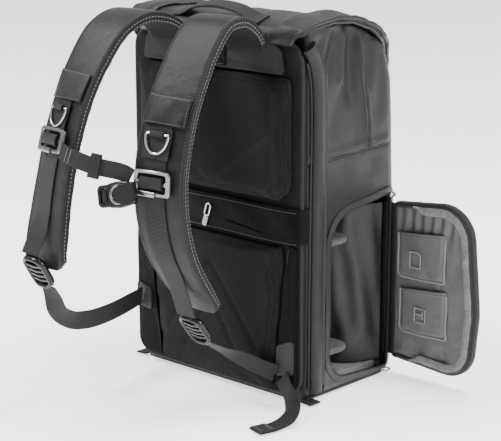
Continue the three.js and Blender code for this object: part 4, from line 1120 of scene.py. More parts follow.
def open_door():
    outer = filled(door_outline(1.6))
    x, z = outer[..., 0], outer[..., 1]
    edge = ease(np.linspace(0, 1, 26)[:, None] / 0.12)
    y = DOOR_NEAR + 7.0 + 0.9 * edge + 0.4 * np.sin(x * 0.09) * np.sin(z * 0.05) * edge
    shell = wall(surface("door_cloth", np.stack([x, y, z], -1), NYLON, wrap_cols=True, sharp=0, flip=True),
                 1.5)
    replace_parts(shell, "door_panel")
    lining = filled(door_outline(3.5), 40)
    x, z = lining[..., 0], lining[..., 1]
    edge = ease(np.linspace(0, 1, 40)[:, None] / 0.1)
    y = DOOR_NEAR - 1.6 - (door_cloth(x, z) * 0.8 + 0.6) * edge
    inner = wall(surface("door_satin", np.stack([x, y, z], -1), LINING_GREY, wrap_cols=True, sharp=0), 0.8)
    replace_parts(inner, "door_lining")
    outline = door_outline(2.4, 2.0)
    line = np.stack([outline[:, 0], np.full(len(outline), DOOR_NEAR + 2.6), outline[:, 1]], 1)
    along = np.arange(len(line))
    lump = 1 + 0.02 * np.sin(along * 0.7) + 0.02 * np.sin(along * 0.23)
    roll = oval(6.6, 12.2, 22, power=2.6)[None] * lump[:, None, None]
    binding = surface("door_binding_tape", sweep(line, (0, 1, 0), roll[..., ::-1], True), TAPE,
                      wrap_rows=True,
                      wrap_cols=True, sharp=0)
    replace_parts(binding, "door_binding")
    zip_line = line + [0, -5.4, 0]
    inwards = unit(np.roll(line, -1, 0) - np.roll(line, 1, 0))
    inwards = np.cross(inwards, np.array([0, 1.0, 0]))
    inwards *= -np.sign((inwards * (line - line.mean(0))).sum(1).mean())
    coil = np.array([(-2.2, 0), (2.2, 0), (2.0, 1.1), (0.9, 1.8), (-0.9, 1.8), (-2.0, 1.1)])
    free = line[:, 0] > HINGE_X + 7
    start = int(np.argmax(free & ~np.roll(free, 1)))
    keep = np.roll(free, -start)
    run = np.roll(zip_line, -start, 0)[keep] + np.roll(inwards, -start, 0)[keep] * 1.4
    surface("door_zip", sweep(run, np.roll(inwards, -start, 0)[keep], coil[:, [0, 1]]), TEETH,
            wrap_cols=True, caps=True)


open_door()


def felt_band():
    """The pale felt round the door's free edges: a band from one outline to a smaller one, domed
    between them."""
    outer, wide = door_outline(4.2, 2.0), 10.0
    along = unit(np.roll(outer, -1, 0) - np.roll(outer, 1, 0))
    out = np.stack([along[:, 1], -along[:, 0]], 1)
    out *= np.sign(((outer - outer.mean(0)) * out).sum(1).mean())
    free = outer[:, 0] > HINGE_X + 30
    start = int(np.argmax(free & ~np.roll(free, 1)))
    keep = np.roll(free, -start)
    outer, out = np.roll(outer, -start, 0)[keep], np.roll(out, -start, 0)[keep]
    share = np.linspace(0, 1, len(outer))
    wide = wide * ease(np.minimum(share, 1 - share) / 0.05)
    t = np.linspace(0, 1, 12)[None]
    flat = outer[:, None] - out[:, None] * (wide[:, None] * t)[..., None]
    rise = (2.6 * np.sin(np.pi * (0.08 + 0.84 * t)) ** 0.6
            + 0.5 * np.sin(share * 90)[:, None] * np.sin(np.pi * t))
    y = DOOR_NEAR - 2.0 - rise
    piece = wall(surface("door_felt", np.stack([flat[..., 0], y, flat[..., 1]], -1), FELT_LIGHT, sharp=0),
                 1.2)
    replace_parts(piece, "door_felt_band")


felt_band()


def pocket(name, x, z, wide, high, sag):
    """A gathered pocket: a domed patch, its mouth hemmed, its other three sides piped in pale thread."""
    u, v = np.meshgrid(np.linspace(0, 1, 46), np.linspace(0, 1, 40))
    px = x + wide * u + 1.5 * v * (u - 0.5)
    pz = z + high * v + 5.0 * u * v - 1.5 * np.sin(np.pi * u) * (1 - v) + sag * u
    rim = ease(np.minimum(np.minimum(u, 1 - u) / 0.09, np.minimum(v / 0.09, 1.0)))
    dome = 2.4 * rim + 1.3 * np.sin(np.pi * u) * v + 0.5 * np.sin(u * 17 + v * 4) * bell(v - 0.1, 0.16)
    dome = dome + 0.6 * np.sin(u * 7 + v * 6) * np.sin(np.pi * v)
    y = DOOR_NEAR - 3.0 - dome
    points = np.stack([px, y, pz], -1)
    piece = wall(surface("door_pocket_cloth_" + name, points, LINING_GREY, sharp=0), 0.8)
    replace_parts(piece, "door_pocket_" + name)
    edge = np.concatenate([points[::-1, 0], points[0, 1:], points[1:, -1]])
    line = curve(edge[::6], 110)
    tube("door_pocket_piping_" + name, line + [0, -0.5, 0], 1.1, THREAD_PALE, 8, across=(0, 1, 0))
    mouth = points[-1] + [0, -0.5, 0]
    tube("door_pocket_hem_" + name, mouth, 0.9, LINING_GREY, 8, across=(0, 1, 0))
    stitches("door_pocket_stitch_" + name, points[-4] + [0, -0.25, 0], (0, -1, 0), THREAD_PALE, 3.2)


def badge(name, cx, cz, y, marks):
    """A small generic pictogram in pale cord: closed or open outlines in millimetres round a middle."""
    for k, mark in enumerate(marks):
        mark = np.array(mark, float)
        closed = np.allclose(mark[0], mark[-1])
        line = even(np.stack([cx + mark[:, 0], np.full(len(mark), y), cz + mark[:, 1]], 1), 40, closed)
        tube(f"door_badge_{name}_{k + 1}", line, 0.85, THREAD_PALE, 6, closed=closed, across=(0, 1, 0))


pocket("upper", 152.4, 132.4, 70, 55, 1.0)
pocket("lower", 156.4, 61.4, 70, 55, 1.0)
badge("card", 181, 157, 72.3, [[(-8, -10), (8, -10), (8, 6), (4, 10), (-8, 10), (-8, -10)]])
badge("cell", 190, 87, 72.3, [[(-8, -9), (8, -9), (8, 9), (-8, 9), (-8, -9)], [(-8, 1.5), (4, 1.5)],
                              [(4, -4), (4, 6)]])
for name, ends in (("upright", [(211, 188), (213, 150), (216, 110), (222, 64)]),
                   ("level", [(168, 60), (196, 58), (238, 56)])):
    line = curve(np.array([(x, DOOR_NEAR - 3.2, z) for x, z in ends], float), 70)
    stitches("door_seam_" + name, line, (0, -1, 0), THREAD_PALE, 3.0, size=(0.35, 0.3))


# The doorway's zip and its pipings
def on_side(outline, out):
    """Puts an outline (y, z) on the right side, out mm off the cloth."""
    x = HALF_WIDTH * along_height(outline[:, 1], BODY_SIDE) - side_relief(outline[:, 0], outline[:, 1]) + out
    corner = np.clip(outline[:, 0] - 65, 0, None)
    return np.stack([x - corner**2 / 60, outline[:, 0], outline[:, 1]], 1)


def doorway_trim():
    base = rounded(DOORWAY, 2.0)
    line = on_side(grow(base, 3.6), 1.2)
    across = on_side(grow(base, 4.6), 1.2) - line
    tape = np.array([(-3.4, -1.0), (3.4, -1.0), (3.2, 0.3), (1.9, 0.5),
                     (1.2, 1.3), (-0.6, 1.5), (-1.4, 0.6), (-3.2, 0.4)])
    trim = surface("doorway_zip", sweep(line, across, tape, True), TEETH, wrap_rows=True, wrap_cols=True,
                   sharp=50)
    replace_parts(trim, "doorway_rim")
    tube("doorway_piping_outer", on_side(grow(base, 7.4), 1.0), 1.4, NYLON, 10, closed=True, across=(1, 0, 0))
    tube("doorway_piping_inner", on_side(grow(base, 0.3), 0.6), 1.8, TAPE, 10, closed=True, across=(1, 0, 0))
    stitches("doorway_stitch", on_side(grow(base, 10.5), 0.15), (1, 0, 0), THREAD_DARK, 3.6, closed=True)


doorway_trim()


def side_seams():
    """Each side's cross seam, two rows of stitches with a dark welt between, and its pocket's slit."""
    y = np.linspace(-60, 62, 90)
    run = np.linspace(0, 1, 60)[:, None]
    slit = np.array(SLIT[0]) * (1 - run) + np.array(SLIT[1]) * run
    for side, name in ((1, "right"), (-1, "left")):
        mirror = np.array([side, 1, 1])
        for k, rise in enumerate((-3.6, 3.4)):
            row = on_side(np.stack([y, seam_height(y) + rise], 1), 0.3) * mirror
            stitches(f"side_seam_{name}_{k + 1}", row, (side, 0, 0), THREAD_DARK, 3.4, size=(0.55, 0.4))
        tube("side_welt_" + name, on_side(np.stack([y, seam_height(y)], 1), 0.2) * mirror, 1.0, TAPE, 8)
        tube("side_slit_" + name, on_side(slit, -0.2) * mirror, 1.5, TAPE, 8, across=(1, 0, 0))
        for k, shift in enumerate((-5.0, 5.5)):
            row = on_side(slit + [shift, 0], 0.3) * mirror
            stitches(f"side_slit_stitch_{name}_{k + 1}", row, (side, 0, 0), THREAD_DARK, 3.4,
                     size=(0.55, 0.4))


def foot_strip():
    """Heather felt below the doorway: its upper edge follows the doorway's big rear corner and its
    sloping foot."""
    y = np.linspace(-48, 60, 80)
    corner = 54 - np.sqrt(np.clip(44.0**2 - (y + 6) ** 2, 0, None))
    top = np.where(y < -6, corner, 17.2 - 0.076 * (y + 42)) - 0.8
    share = np.linspace(0, 1, 12)[:, None]
    z = 4.5 + (top - 4.5) * share
    flat = np.stack([np.broadcast_to(y, z.shape), z], -1)
    points = on_side(flat.reshape(-1, 2), 1.0).reshape(12, 80, 3)
    wall(surface("foot_felt", points, FELT_BASE, sharp=0), 0.8, 0.0)


side_seams()
foot_strip()


# Shoulder straps
STRAPS = {
    "right": dict(
        x=61.0, side=1, drift=[0] * 14, turn=[0, 0, 0, 0, 0.2, 0.5, 0.8, 1, 1, 1, 1, 0.7, 0.3, 0],
        line=[(-103.7, 430), (-114, 449), (-137, 466), (-166, 464), (-190, 441), (-211, 408), (-229, 372),
              (-240, 340),
              (-247, 310), (-250, 278), (-247, 240), (-235, 198), (-211, 158), (-180, 123)],
        rings=340, frame=287, rail=372, cover=382, tip=[(-212, 150), (-206.5, 135), (-201.3, 121)],
        lock=((57, -183, 104), (0, 0.6, -0.8)),
        pull=[((58, -170.2, 80.4), (1, 0, 0)), ((65, -158, 72), (0.95, -0.1, 0.3)),
              ((80, -134, 57), (0.55, -0.2, 0.8)),
              ((95, -117, 45), (0.4, -0.2, 0.9)), ((110, -106, 38), (0.35, -0.1, 0.93))],
        anchor=[(106, 33, 4), (135, 40, 4), (135, 84, 4), (108, 72, 4)]),
    "left": dict(
        x=-61.0, side=-1, drift=[0, 0, -2, -4, -8, -12, -16, -18, -19, -19, -19, -19],
        turn=[0, 0, 0, 0.1, 0.3, 0.7, 1, 1, 1, 0.7, 0.3, 0],
        line=[(-103.7, 430), (-116, 448), (-142, 463), (-174, 466), (-206, 451), (-238, 411), (-260, 367),
              (-275, 325),
              (-286, 283), (-296, 239), (-302, 201), (-298, 172)],
        rings=357, frame=321, rail=389, cover=399, tip=[(-306, 212), (-312.5, 201), (-317.4, 191.4)],
        lock=((-83, -303, 172), (0, 0.51, -0.86)),
        pull=[((-82, -294.6, 149), (1, 0, 0)), ((-84, -286, 133), (0.9, 0.3, 0.3)),
              ((-90, -274, 112), (0.6, 0.3, 0.75)), ((-97, -248, 94), (0.2, 0.2, 0.95)),
              ((-104, -214, 85), (0.1, 0.1, 1)), ((-112, -170, 83), (0.1, 0, 1)),
              ((-119, -130, 86), (0.1, 0, 1)), ((-123, -104.6, 89), (0.2, 0, 1))],
        anchor=[(-108, 72, 4), (-135, 76, 4), (-135, 108, 4), (-108, 100, 4)]),
}
STRAP_WIDE, STRAP_THICK, STRAP_TURN, RAIL_SHIFT = 66.0, 15.0, 10.0, -4.0
RING_WIDE, RING_DROP, RING_WIRE = 34.0, 25.0, 3.2


def spread(rows, at):
    """The rows of an array at places between them, by straight lines."""
    rows = np.asarray(rows, float)
    return np.stack([np.interp(at, np.arange(len(rows)), column) for column in rows.T], 1)


class StrapLine:
    """The middle of a strap's outer face, from its root over the top and down to its tip."""

    def __init__(self, name):
        self.name, self.facts = name, STRAPS[name]
        rows = [(self.facts["x"] + d, y, z) for (y, z), d in zip(self.facts["line"], self.facts["drift"])]
        self.line = curve(rows, 420)
        near = [int(np.linalg.norm(self.line - row, axis=1).argmin()) for row in rows]
        turn = np.interp(np.arange(420), near, self.facts["turn"])
        turn = turn * math.radians(STRAP_TURN) * self.facts["side"]
        self.ways = np.stack([np.cos(turn), np.sin(turn), 0 * turn], 1)
        self.along, self.across, self.out = frames(self.line, self.ways)
        self.top = int(self.line[:, 2].argmax())

    def index(self, z):
        return self.top + int(np.abs(self.line[self.top:, 2] - z).argmin())

    def run(self, high, low, count):
        """Frames along the front of the strap between two heights."""
        at = np.linspace(self.index(high), self.index(low), count)
        line, ways = (spread(v, at) for v in (self.line, self.ways))
        return line, *frames(line, ways)

    def place(self, z, points, lift, shift=0.0):
        """Puts points made in a frame's own axes (across, up the line, out) onto the strap at height z."""
        i = self.index(z)
        points = np.asarray(points, float)
        origin = self.line[i] + self.out[i] * lift + self.across[i] * shift
        return (origin + points[..., :1] * self.across[i] - points[..., 1:2] * self.along[i]
                + points[..., 2:] * self.out[i])


def strap_pad(strap):
    """The padded strap: a section with a crowned cloth face, tape round both edges and mesh behind,
    swept and tapered."""
    n = len(strap.line)
    s = np.linspace(0, 1, n)
    wide = np.interp(s, [0, 0.93, 0.975, 1], [1, 1, 0.93, 0.6]) * STRAP_WIDE / 2
    thick = np.interp(s, [0, 0.06, 0.13, 0.9, 1], [0.5, 0.75, 1, 1, 0.62]) * STRAP_THICK
    face = np.linspace(-1, 1, 21)
    front = np.stack([face * 0.955, 0.02 - 0.075 * np.abs(face) ** 3.2], 1)
    edge = np.linspace(0.16, np.pi - 0.16, 9)[1:-1]
    right = np.stack([0.955 + 0.045 * np.sin(edge), -0.5 + 0.42 * np.cos(edge)], 1)
    behind = np.stack([-face * 0.955, -0.98 + 0.09 * np.abs(face) ** 4], 1)
    left = right[::-1] * [-1, 1]
    profile = np.concatenate([front, right, behind, left])
    zone = [0] * 20 + [1] * 8 + [2] * 20 + [1] * 8
    swell = 1 + 0.02 * np.sin(s * 37) + 0.014 * np.sin(s * 83 + 1)
    scaled = profile[None] * np.stack([wide, thick * swell], 1)[:, None]
    scaled[..., 1] += 0.2 * np.sin(s * 140)[:, None] * (np.abs(profile[:, 0]) > 0.9)
    points = (strap.line[:, None] + scaled[..., :1] * strap.across[:, None]
              + scaled[..., 1:] * strap.out[:, None])
    piece = surface("strap_" + strap.name, points, [NYLON_SMOOTH, TAPE, MESH], wrap_cols=True, caps=True,
                    zone=zone, sharp=0)
    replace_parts(piece, "strap_pad_" + strap.name)
    keep = slice(6, n - 8)
    for side in (-1, 1):
        rim = strap.line + strap.across * (side * wide * 0.985)[:, None] - strap.out * (thick * 0.14)[:, None]
        label = "right" if side > 0 else "left"
        tube(f"strap_welt_{strap.name}_{label}", rim[keep], 1.5, TAPE, 8, across=(1, 0, 0))
        seam = (strap.line + strap.across * (side * wide * 0.93)[:, None]
                - strap.out * (thick * 0.035)[:, None])
        stitches(f"strap_seam_{strap.name}_{label}", seam[keep], strap.out[keep], THREAD_DARK, 3.6)
        # Two pale rows run along the mesh's edge, one on its side and one just behind
        for k, (share, deep, lean) in enumerate(((1.016, 0.44, 0.0), (1.004, 0.78, -0.35))):
            row = (strap.line + strap.across * (side * wide * share)[:, None]
                   - strap.out * (thick * deep)[:, None])
            way = strap.out * lean + strap.across * side
            stitches(f"strap_edge_{strap.name}_{label}_{k + 1}", row[keep], way[keep], THREAD_GREY, 4.6,
                     0.66, (0.7, 0.45))


def webbing_strip(name, line, across, wide, thick, finish=WEBBING, lift=0.0, node=None):
    """Webbing: a flat section with round edges carried along a line, its outer face lift + thick off it."""
    base = oval(wide, thick, 26, power=5.0) + np.array([0, lift + thick / 2])
    piece = surface(name, sweep(line, across, base), finish, wrap_cols=True, caps=True, sharp=50)
    if node:
        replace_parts(piece, node)
    return piece


def rounded_frame(outer, inner, thick, bevel, step=1.2):
    """A flat frame between two outlines of equally many points: a section swept round, corners bevelled."""
    count = 160

    def ring(corners):
        """The outline at equal steps, starting on its right."""
        line = rounded(corners, step)
        line = even(np.vstack([line, line[:1]]), count, True)
        middle = line.mean(0)
        angle = np.arctan2(line[:, 1] - middle[1], line[:, 0] - middle[0])
        return np.roll(line, -int(np.abs(angle).argmin()), 0)

    o, i = ring(outer), ring(inner)
    inwards = unit(i - o) * bevel
    section = [(o, bevel), (o, thick - bevel), (o + inwards, thick), (i - inwards, thick), (i, thick - bevel),
               (i, bevel), (i - inwards, 0), (o + inwards, 0)]
    rings = [np.concatenate([line, np.full((count, 1), z)], 1) for line, z in section]
    return np.array(rings).transpose(1, 0, 2)


def strap_fittings(strap):
    facts, name = strap.facts, strap.name
    rail_lift = GAP + 0.3
    leave = facts["tip"][0][1] + 16
    line, _, across, _ = strap.run(facts["rail"], leave, 60)
    tip = np.array([(strap.line[-1, 0] + RAIL_SHIFT, y, z) for y, z in facts["tip"]])
    rail = curve(np.vstack([(line + across * RAIL_SHIFT)[::5], tip]), 150)
    rail[:, 0] += 0.45 * np.sin(np.linspace(0, 9, 150)) * ease(np.linspace(0, 1, 150) / 0.3)
    ways = np.vstack([across[::5], np.tile([1.0, 0, 0], (3, 1))])
    webbing_strip("rail_" + name, rail, spread(ways, np.linspace(0, len(ways) - 1, 150)), 30.0, 1.6,
                  lift=rail_lift,
                  node="strap_rail_" + name)
    rail_top = rail_lift + 1.6 + GAP
    # The cover patch over the rail's upper end
    high, low = facts["cover"], facts["cover"] - 30
    patch, _, across, out = strap.run(high, low, 40)
    t = np.linspace(-1, 1, 34)[None]
    v = np.linspace(0, 1, 40)[:, None]
    lift = (0.9 + 2.0 * ease((1 - np.abs(t)) / 0.3) * ease(v / 0.08) * (0.6 + 0.4 * v)
            + 0.35 * np.sin(t * 5 + v * 4))
    points = (patch[:, None] + across[:, None] * (t * 29.5)[..., None]
              + out[:, None] * (lift + rail_top - 1.4)[..., None])
    cover = wall(surface("cover_" + name, points, NYLON_SMOOTH, sharp=0), 1.4, 0.0)
    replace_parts(cover, "strap_cover_" + name)
    stitches("cover_stitch_" + name, points[2] + out[2] * 0.7, np.tile(out[2], (34, 1)), THREAD_DARK, 3.2)
    stitches("cover_side_" + name, points[2:, 32] + out[2:] * 0.7, out[2:], THREAD_DARK, 3.2)
    tube("cover_hem_" + name, points[-1] + out[-1] * 0.1, 1.2, NYLON_SMOOTH, 8, across=(0, 0, 1))
    # D-ring in its webbing loop, over a dark patch
    u, v = np.meshgrid(np.linspace(-18, 18, 24), np.linspace(-28, 7, 24))
    backing = strap.place(facts["rings"], np.stack([u, v, 0.25 * np.sin(u * 0.4) * np.sin(v * 0.3)], -1),
                          rail_top + 0.4,
                          RAIL_SHIFT)
    wall(surface("ring_patch_" + name, backing, WEBBING, sharp=0), 0.7, 0.0)
    loop_half = 1.6 + 0.5 + 1.2
    centre = rail_top + loop_half
    tunnel = oval(2 * loop_half, 2 * loop_half, 24, power=3.2)
    x = np.array([(-9.0, 0, 0), (9.0, 0, 0)])
    body_line = strap.place(facts["rings"], even(x, 12), centre, RAIL_SHIFT)
    up = strap.place(facts["rings"], np.array([(0, 1.0, 0), (0, 0, 0)]), centre, RAIL_SHIFT)
    hollow = oval(4.8, 4.8, 24)
    side = unit(up[0] - up[1])
    outer_ring = sweep(body_line, side, tunnel)
    inner_ring = sweep(body_line, side, hollow)
    points = np.concatenate([outer_ring, inner_ring[::-1]])
    loop = surface("ring_loop_webbing_" + name, points, WEBBING, wrap_rows=True, wrap_cols=True, sharp=50)
    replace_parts(loop, "ring_loop_" + name)
    tilt = math.asin((loop_half - RING_WIRE / 2 - GAP) / RING_DROP)
    half, drop = (RING_WIDE - RING_WIRE) / 2, RING_DROP - RING_WIRE / 2 - 1.5
    t = np.pi * (np.arange(9) + 0.6) / 9.2
    ring = [(-half + 1.5, 0), (half - 1.5, 0), (half, -1.5)]
    ring += [(half * math.cos(a), -drop * math.sin(a) * 0.95 - 1.5) for a in t]
    ring = np.array([(x, y, 0.0) for x, y in ring + [(-half, -1.5)]])
    ring = np.concatenate([ring[:2], curve(ring[1:], 60)[1:-1], ring[-1:]])
    ring = even(np.vstack([ring, ring[:1]]), 110, True)
    turned = np.stack([ring[:, 0], ring[:, 1] * math.cos(tilt), ring[:, 1] * math.sin(tilt)], 1)
    ring_line = strap.place(facts["rings"], turned, centre, RAIL_SHIFT)
    normal = strap.out[strap.index(facts["rings"])]
    d_ring = tube("ring_wire_" + name, ring_line, 1.6, CHROME, 14, True, normal, body="ring_" + name)
    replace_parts(d_ring, "d_ring_" + name)
    # Frame buckle: a metal frame whose middle bar is wrapped in webbing
    z = facts["frame"]
    outer = [(-25, -14.5, 4.5), (25, -14.5, 4.5), (25, 14.5, 4.5), (-25, 14.5, 4.5)]
    inner = [(-19.3, -10.2, 2.5), (19.3, -10.2, 2.5), (19.3, 10.2, 2.5), (-19.3, 10.2, 2.5)]
    metal_frame = surface("frame_metal_" + name,
                          strap.place(z, rounded_frame(outer, inner, 5.0, 1.1), rail_top, RAIL_SHIFT),
                          ALUMINIUM, wrap_rows=True, wrap_cols=True, sharp=35)
    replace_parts(metal_frame, "frame_buckle_" + name)
    bar = strap.place(z, even(np.array([(-22.0, 0, 2.5), (22.0, 0, 2.5)]), 20), rail_top, RAIL_SHIFT)
    surface("frame_bar_" + name, sweep(bar, strap.out[strap.index(z)], oval(4.6, 5.4, 20, power=3)),
            ALUMINIUM,
            wrap_cols=True, caps=True)
    roller = strap.place(z, even(np.array([(-15.5, 0.4, 3.4), (15.5, 0.4, 3.4)]), 40), rail_top, RAIL_SHIFT)
    surface("frame_wrap_" + name, sweep(roller, strap.out[strap.index(z)], oval(9.6, 13.6, 28, power=2.6)),
            WEBBING,
            wrap_cols=True, caps=True, sharp=50)
    tongue = strap.place(z, even(np.array([(-21.5, -12.2, 3.6), (6.0, -12.6, 4.6)]), 20), rail_top,
                         RAIL_SHIFT)
    surface("frame_tongue_" + name, sweep(tongue, strap.out[strap.index(z)], oval(5.0, 6.4, 20, power=3)),
            ALUMINIUM,
            wrap_cols=True, caps=True)


def basis(at, along, across=(1, 0, 0)):
    """Axes of a fitting: across, up (against along) and out."""
    along = unit(np.array(along, float))
    across = np.array(across, float)
    across = unit(across - along * (across @ along))
    return np.array(at, float), across, -along, np.cross(along, across)


def seat(points, axes):
    at, across, up, out = axes
    points = np.asarray(points, float)
    return at + points[..., :1] * across + points[..., 1:2] * up + points[..., 2:] * out


def ladder_lock(name, at, along):
    """A webbing adjuster: an oval rim with three ribbed cross bars, its lower end turned up as a lip."""
    axes = basis(at, along)
    outer = [(-18, -23, 14), (18, -23, 14), (18, 23, 13), (-18, 23, 13)]
    inner = [(-12.8, -18, 9), (12.8, -18, 9), (12.8, 18.5, 9), (-12.8, 18.5, 9)]
    rim = rounded_frame(outer, inner, 8.6, 1.9)
    rim[..., 2] += (0.9 * np.cos(np.clip(rim[..., 0] / 18, -1, 1) * np.pi / 2)
                    + 1.4 * ease((-rim[..., 1] - 12) / 10))
    piece = surface("lock_rim_" + name, seat(rim, axes), PLASTIC, wrap_rows=True, wrap_cols=True, sharp=0)
    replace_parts(piece, "ladder_lock_" + name)
    back = filled(rounded(inner, 2.0), 8)
    back = np.concatenate([back, np.full(back.shape[:2] + (1,), 1.8)], -1)
    wall(surface("lock_floor_" + name, seat(back, axes), PLASTIC, wrap_cols=True, sharp=0), 1.2, 0.0)
    for k, y in enumerate((-11.2, -4.0, 3.2, 10.4)):
        reach = 14.2 if abs(y) < 8 else 12.6
        line = even(np.array([(-reach, y, 5.4), (0, y - 0.6, 6.6), (reach, y, 5.4)]), 24)
        surface(f"lock_rib_{name}_{k + 1}", sweep(seat(line, axes), axes[3], oval(4.6, 4.4, 18, power=2.8)),
                PLASTIC,
                wrap_cols=True, caps=True, sharp=50)
    web = even(np.array([(0, 24, 0.4), (0, 12, 2.6), (0, 0, 2.2), (0, -12, 2.6), (0, -22, 1.6)]), 40)
    webbing_strip("lock_webbing_" + name, seat(web, axes), axes[1], 24.5, 1.5)


def strap_webbing(name, facts):
    points = curve([p for p, _ in facts["pull"]], 130)
    share = np.linspace(0, 1, len(facts["pull"]))
    across = np.array([a for _, a in facts["pull"]], float)
    spread = np.stack([np.interp(np.linspace(0, 1, 130), share, across[:, k]) for k in range(3)], 1)
    webbing_strip("pull_webbing_" + name, points, spread, 25.0, 1.6, lift=-1.6, node="strap_webbing_" + name)
    corners = rounded(facts["anchor"], 3)
    patch = slab_on_back("anchor_patch_" + name, corners, 3.0, NYLON, 1.2, BACK - 2 * GAP - 4.0, 6)
    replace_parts(patch, "strap_anchor_" + name)
    rim = grow(corners, -2.6)
    line = np.stack([rim[:, 0], np.full(len(rim), BACK - 2 * GAP - 7.1), rim[:, 1]], 1)
    stitches("anchor_stitch_" + name, line, (0, -1, 0), THREAD_DARK, 3.2, closed=True)


for strap_name in STRAPS:
    strap_line = StrapLine(strap_name)
    strap_pad(strap_line)
    strap_fittings(strap_line)
    ladder_lock(strap_name, *STRAPS[strap_name]["lock"])
    strap_webbing(strap_name, STRAPS[strap_name])


# Webbing tail that curls on the floor
def webbing_tail():
    """The right pull's free end: a strap 25 mm wide along a listed line, its end folded back once, drawn as a
    second layer over it, and stitched."""
    rows = [((119, -104.6, 34), (0.9, -0.1, 0.35)), ((132, -109, 23), (0.8, -0.2, 0.55)),
            ((147, -118, 14), (0.7, 0.1, 0.6)),
            ((160, -133, 9.5), (0.6, 0.6, 0.4)), ((167, -152, 4.6), (0.8, 0.6, 0.12)),
                    ((166, -172, 2.6), (1, 0.1, 0)),
            ((160, -196, 2.4), (0.97, -0.22, 0))]
    line = curve([p for p, _ in rows], 150)
    share = np.linspace(0, 1, len(rows))
    ways = np.array([a for _, a in rows], float)
    spread = np.stack([np.interp(np.linspace(0, 1, 150), share, ways[:, k]) for k in range(3)], 1)
    webbing_strip("tail_webbing", line, spread, 25.0, 1.6, lift=-0.8, node="tail_webbing_right")
    _, across, out = frames(line, spread)
    up = out * np.sign(out[-1, 2])
    fold = line[-26:-1] + up[-26:-1] * 1.7
    webbing_strip("tail_hem", fold, spread[-26:-1], 24.6, 1.5, lift=-0.8)
    for k in (-24, -21, -6):
        row = line[k] + across[k] * np.linspace(-10, 10, 20)[:, None] + up[k] * 2.6
        stitches(f"tail_stitch_{-k}", row, up[k], THREAD_PALE, 2.6)


# Sternum strap: webbing between the two frames, its elastic keeper and side-squeeze buckle
def chest_strap():
    rows = [(-57.6, -290.2, 314.2), (-41, -289, 309.1), (-20, -282, 302.6), (-3, -275.5, 299.8),
            (21, -265.6, 296.1), (30.6, -261.8, 291.5)]
    line = curve(rows, 90)
    across = (-0.1, 0.1, 1)
    webbing_strip("sternum_webbing", line, across, 20.0, 1.6, lift=-0.8, node="chest_webbing")
    _, side, out = frames(line, across)
    front = out * -np.sign(out[:, 1:2])
    sleeve = line[40:53]
    keeper = webbing_strip("sternum_keeper", sleeve, across, 29.0, 5.0, TAPE, lift=-2.5)
    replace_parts(keeper, "chest_keeper")
    for k in (10, 15):
        row = line[k] + side[k] * np.linspace(-8.5, 8.5, 16)[:, None] + front[k] * 1.1
        stitches(f"sternum_bar_{k}", row, front[k], THREAD_PALE, 2.4, 0.8)
    axes = basis((20, -270.4, 271), -unit(np.array([-0.25, 0.1, 1.0])), unit(np.array([1.0, 0.3, 0.3])))
    outer = [(-25, -13, 6), (25, -13, 5), (25, 13, 5), (-25, 13, 6)]
    inner = [(-20.5, -8.5, 3), (-11.5, -8.5, 3), (-11.5, 8.5, 3), (-20.5, 8.5, 3)]
    shell = rounded_frame(outer, inner, 9.0, 1.7)
    body = surface("buckle_shell", seat(shell, axes), PLASTIC, wrap_rows=True, wrap_cols=True, sharp=35)
    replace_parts(body, "chest_buckle")
    for side_of in (-1, 1):
        prong = [(-8.0, side_of * 11.4, 5.6), (4, side_of * 12.8, 6.4), (17, side_of * 11.0, 5.6)]
        prong = even(np.array(prong), 24)
        surface(f"buckle_prong_{'upper' if side_of > 0 else 'lower'}",
                sweep(seat(prong, axes), axes[3], oval(6.4, 5.4, 18, power=2.7)), PLASTIC, wrap_cols=True,
                caps=True)
    contour = [(15, -9.5, 6.8), (6, -11.6, 7.6), (-3, -7.5, 8.6),
               (-5.5, 0, 9.4), (-3, 7.5, 8.6), (6, 11.6, 7.6)]
    tube("buckle_contour", seat(curve(contour, 60), axes), 1.5, ALUMINIUM, 10, across=axes[3])
    tube("buckle_bar", seat(even(np.array([(-23, -11, 4.5), (-23, 11, 4.5)]), 12), axes), 2.2, ALUMINIUM, 10,
         across=axes[3])
    web = even(np.array([(-16, -8, 3.4), (-16, 8, 3.4)]), 12)
    surface("buckle_webbing", sweep(seat(web, axes), axes[3], oval(8.4, 8.2, 20, power=2.6)), WEBBING,
            wrap_cols=True, caps=True)


def slot_ring(name, plan, centre, half_wide, half_high, wire, finish, node):
    """A wire loop round a slot. plan maps (u, v) pairs about the centre to the part's axes."""
    corners = [(-half_wide, -half_high, half_wide * 0.92), (half_wide, -half_high, half_wide * 0.92),
               (half_wide, half_high, half_wide * 0.92), (-half_wide, half_high, half_wide * 0.92)]
    outline = rounded(corners, 1.4)
    line = (np.array(centre, float) + outline[:, :1] * np.array(plan[0], float)
            + outline[:, 1:] * np.array(plan[1], float))
    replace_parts(tube(name, line, wire, finish, 12, True, np.cross(*plan)), node)


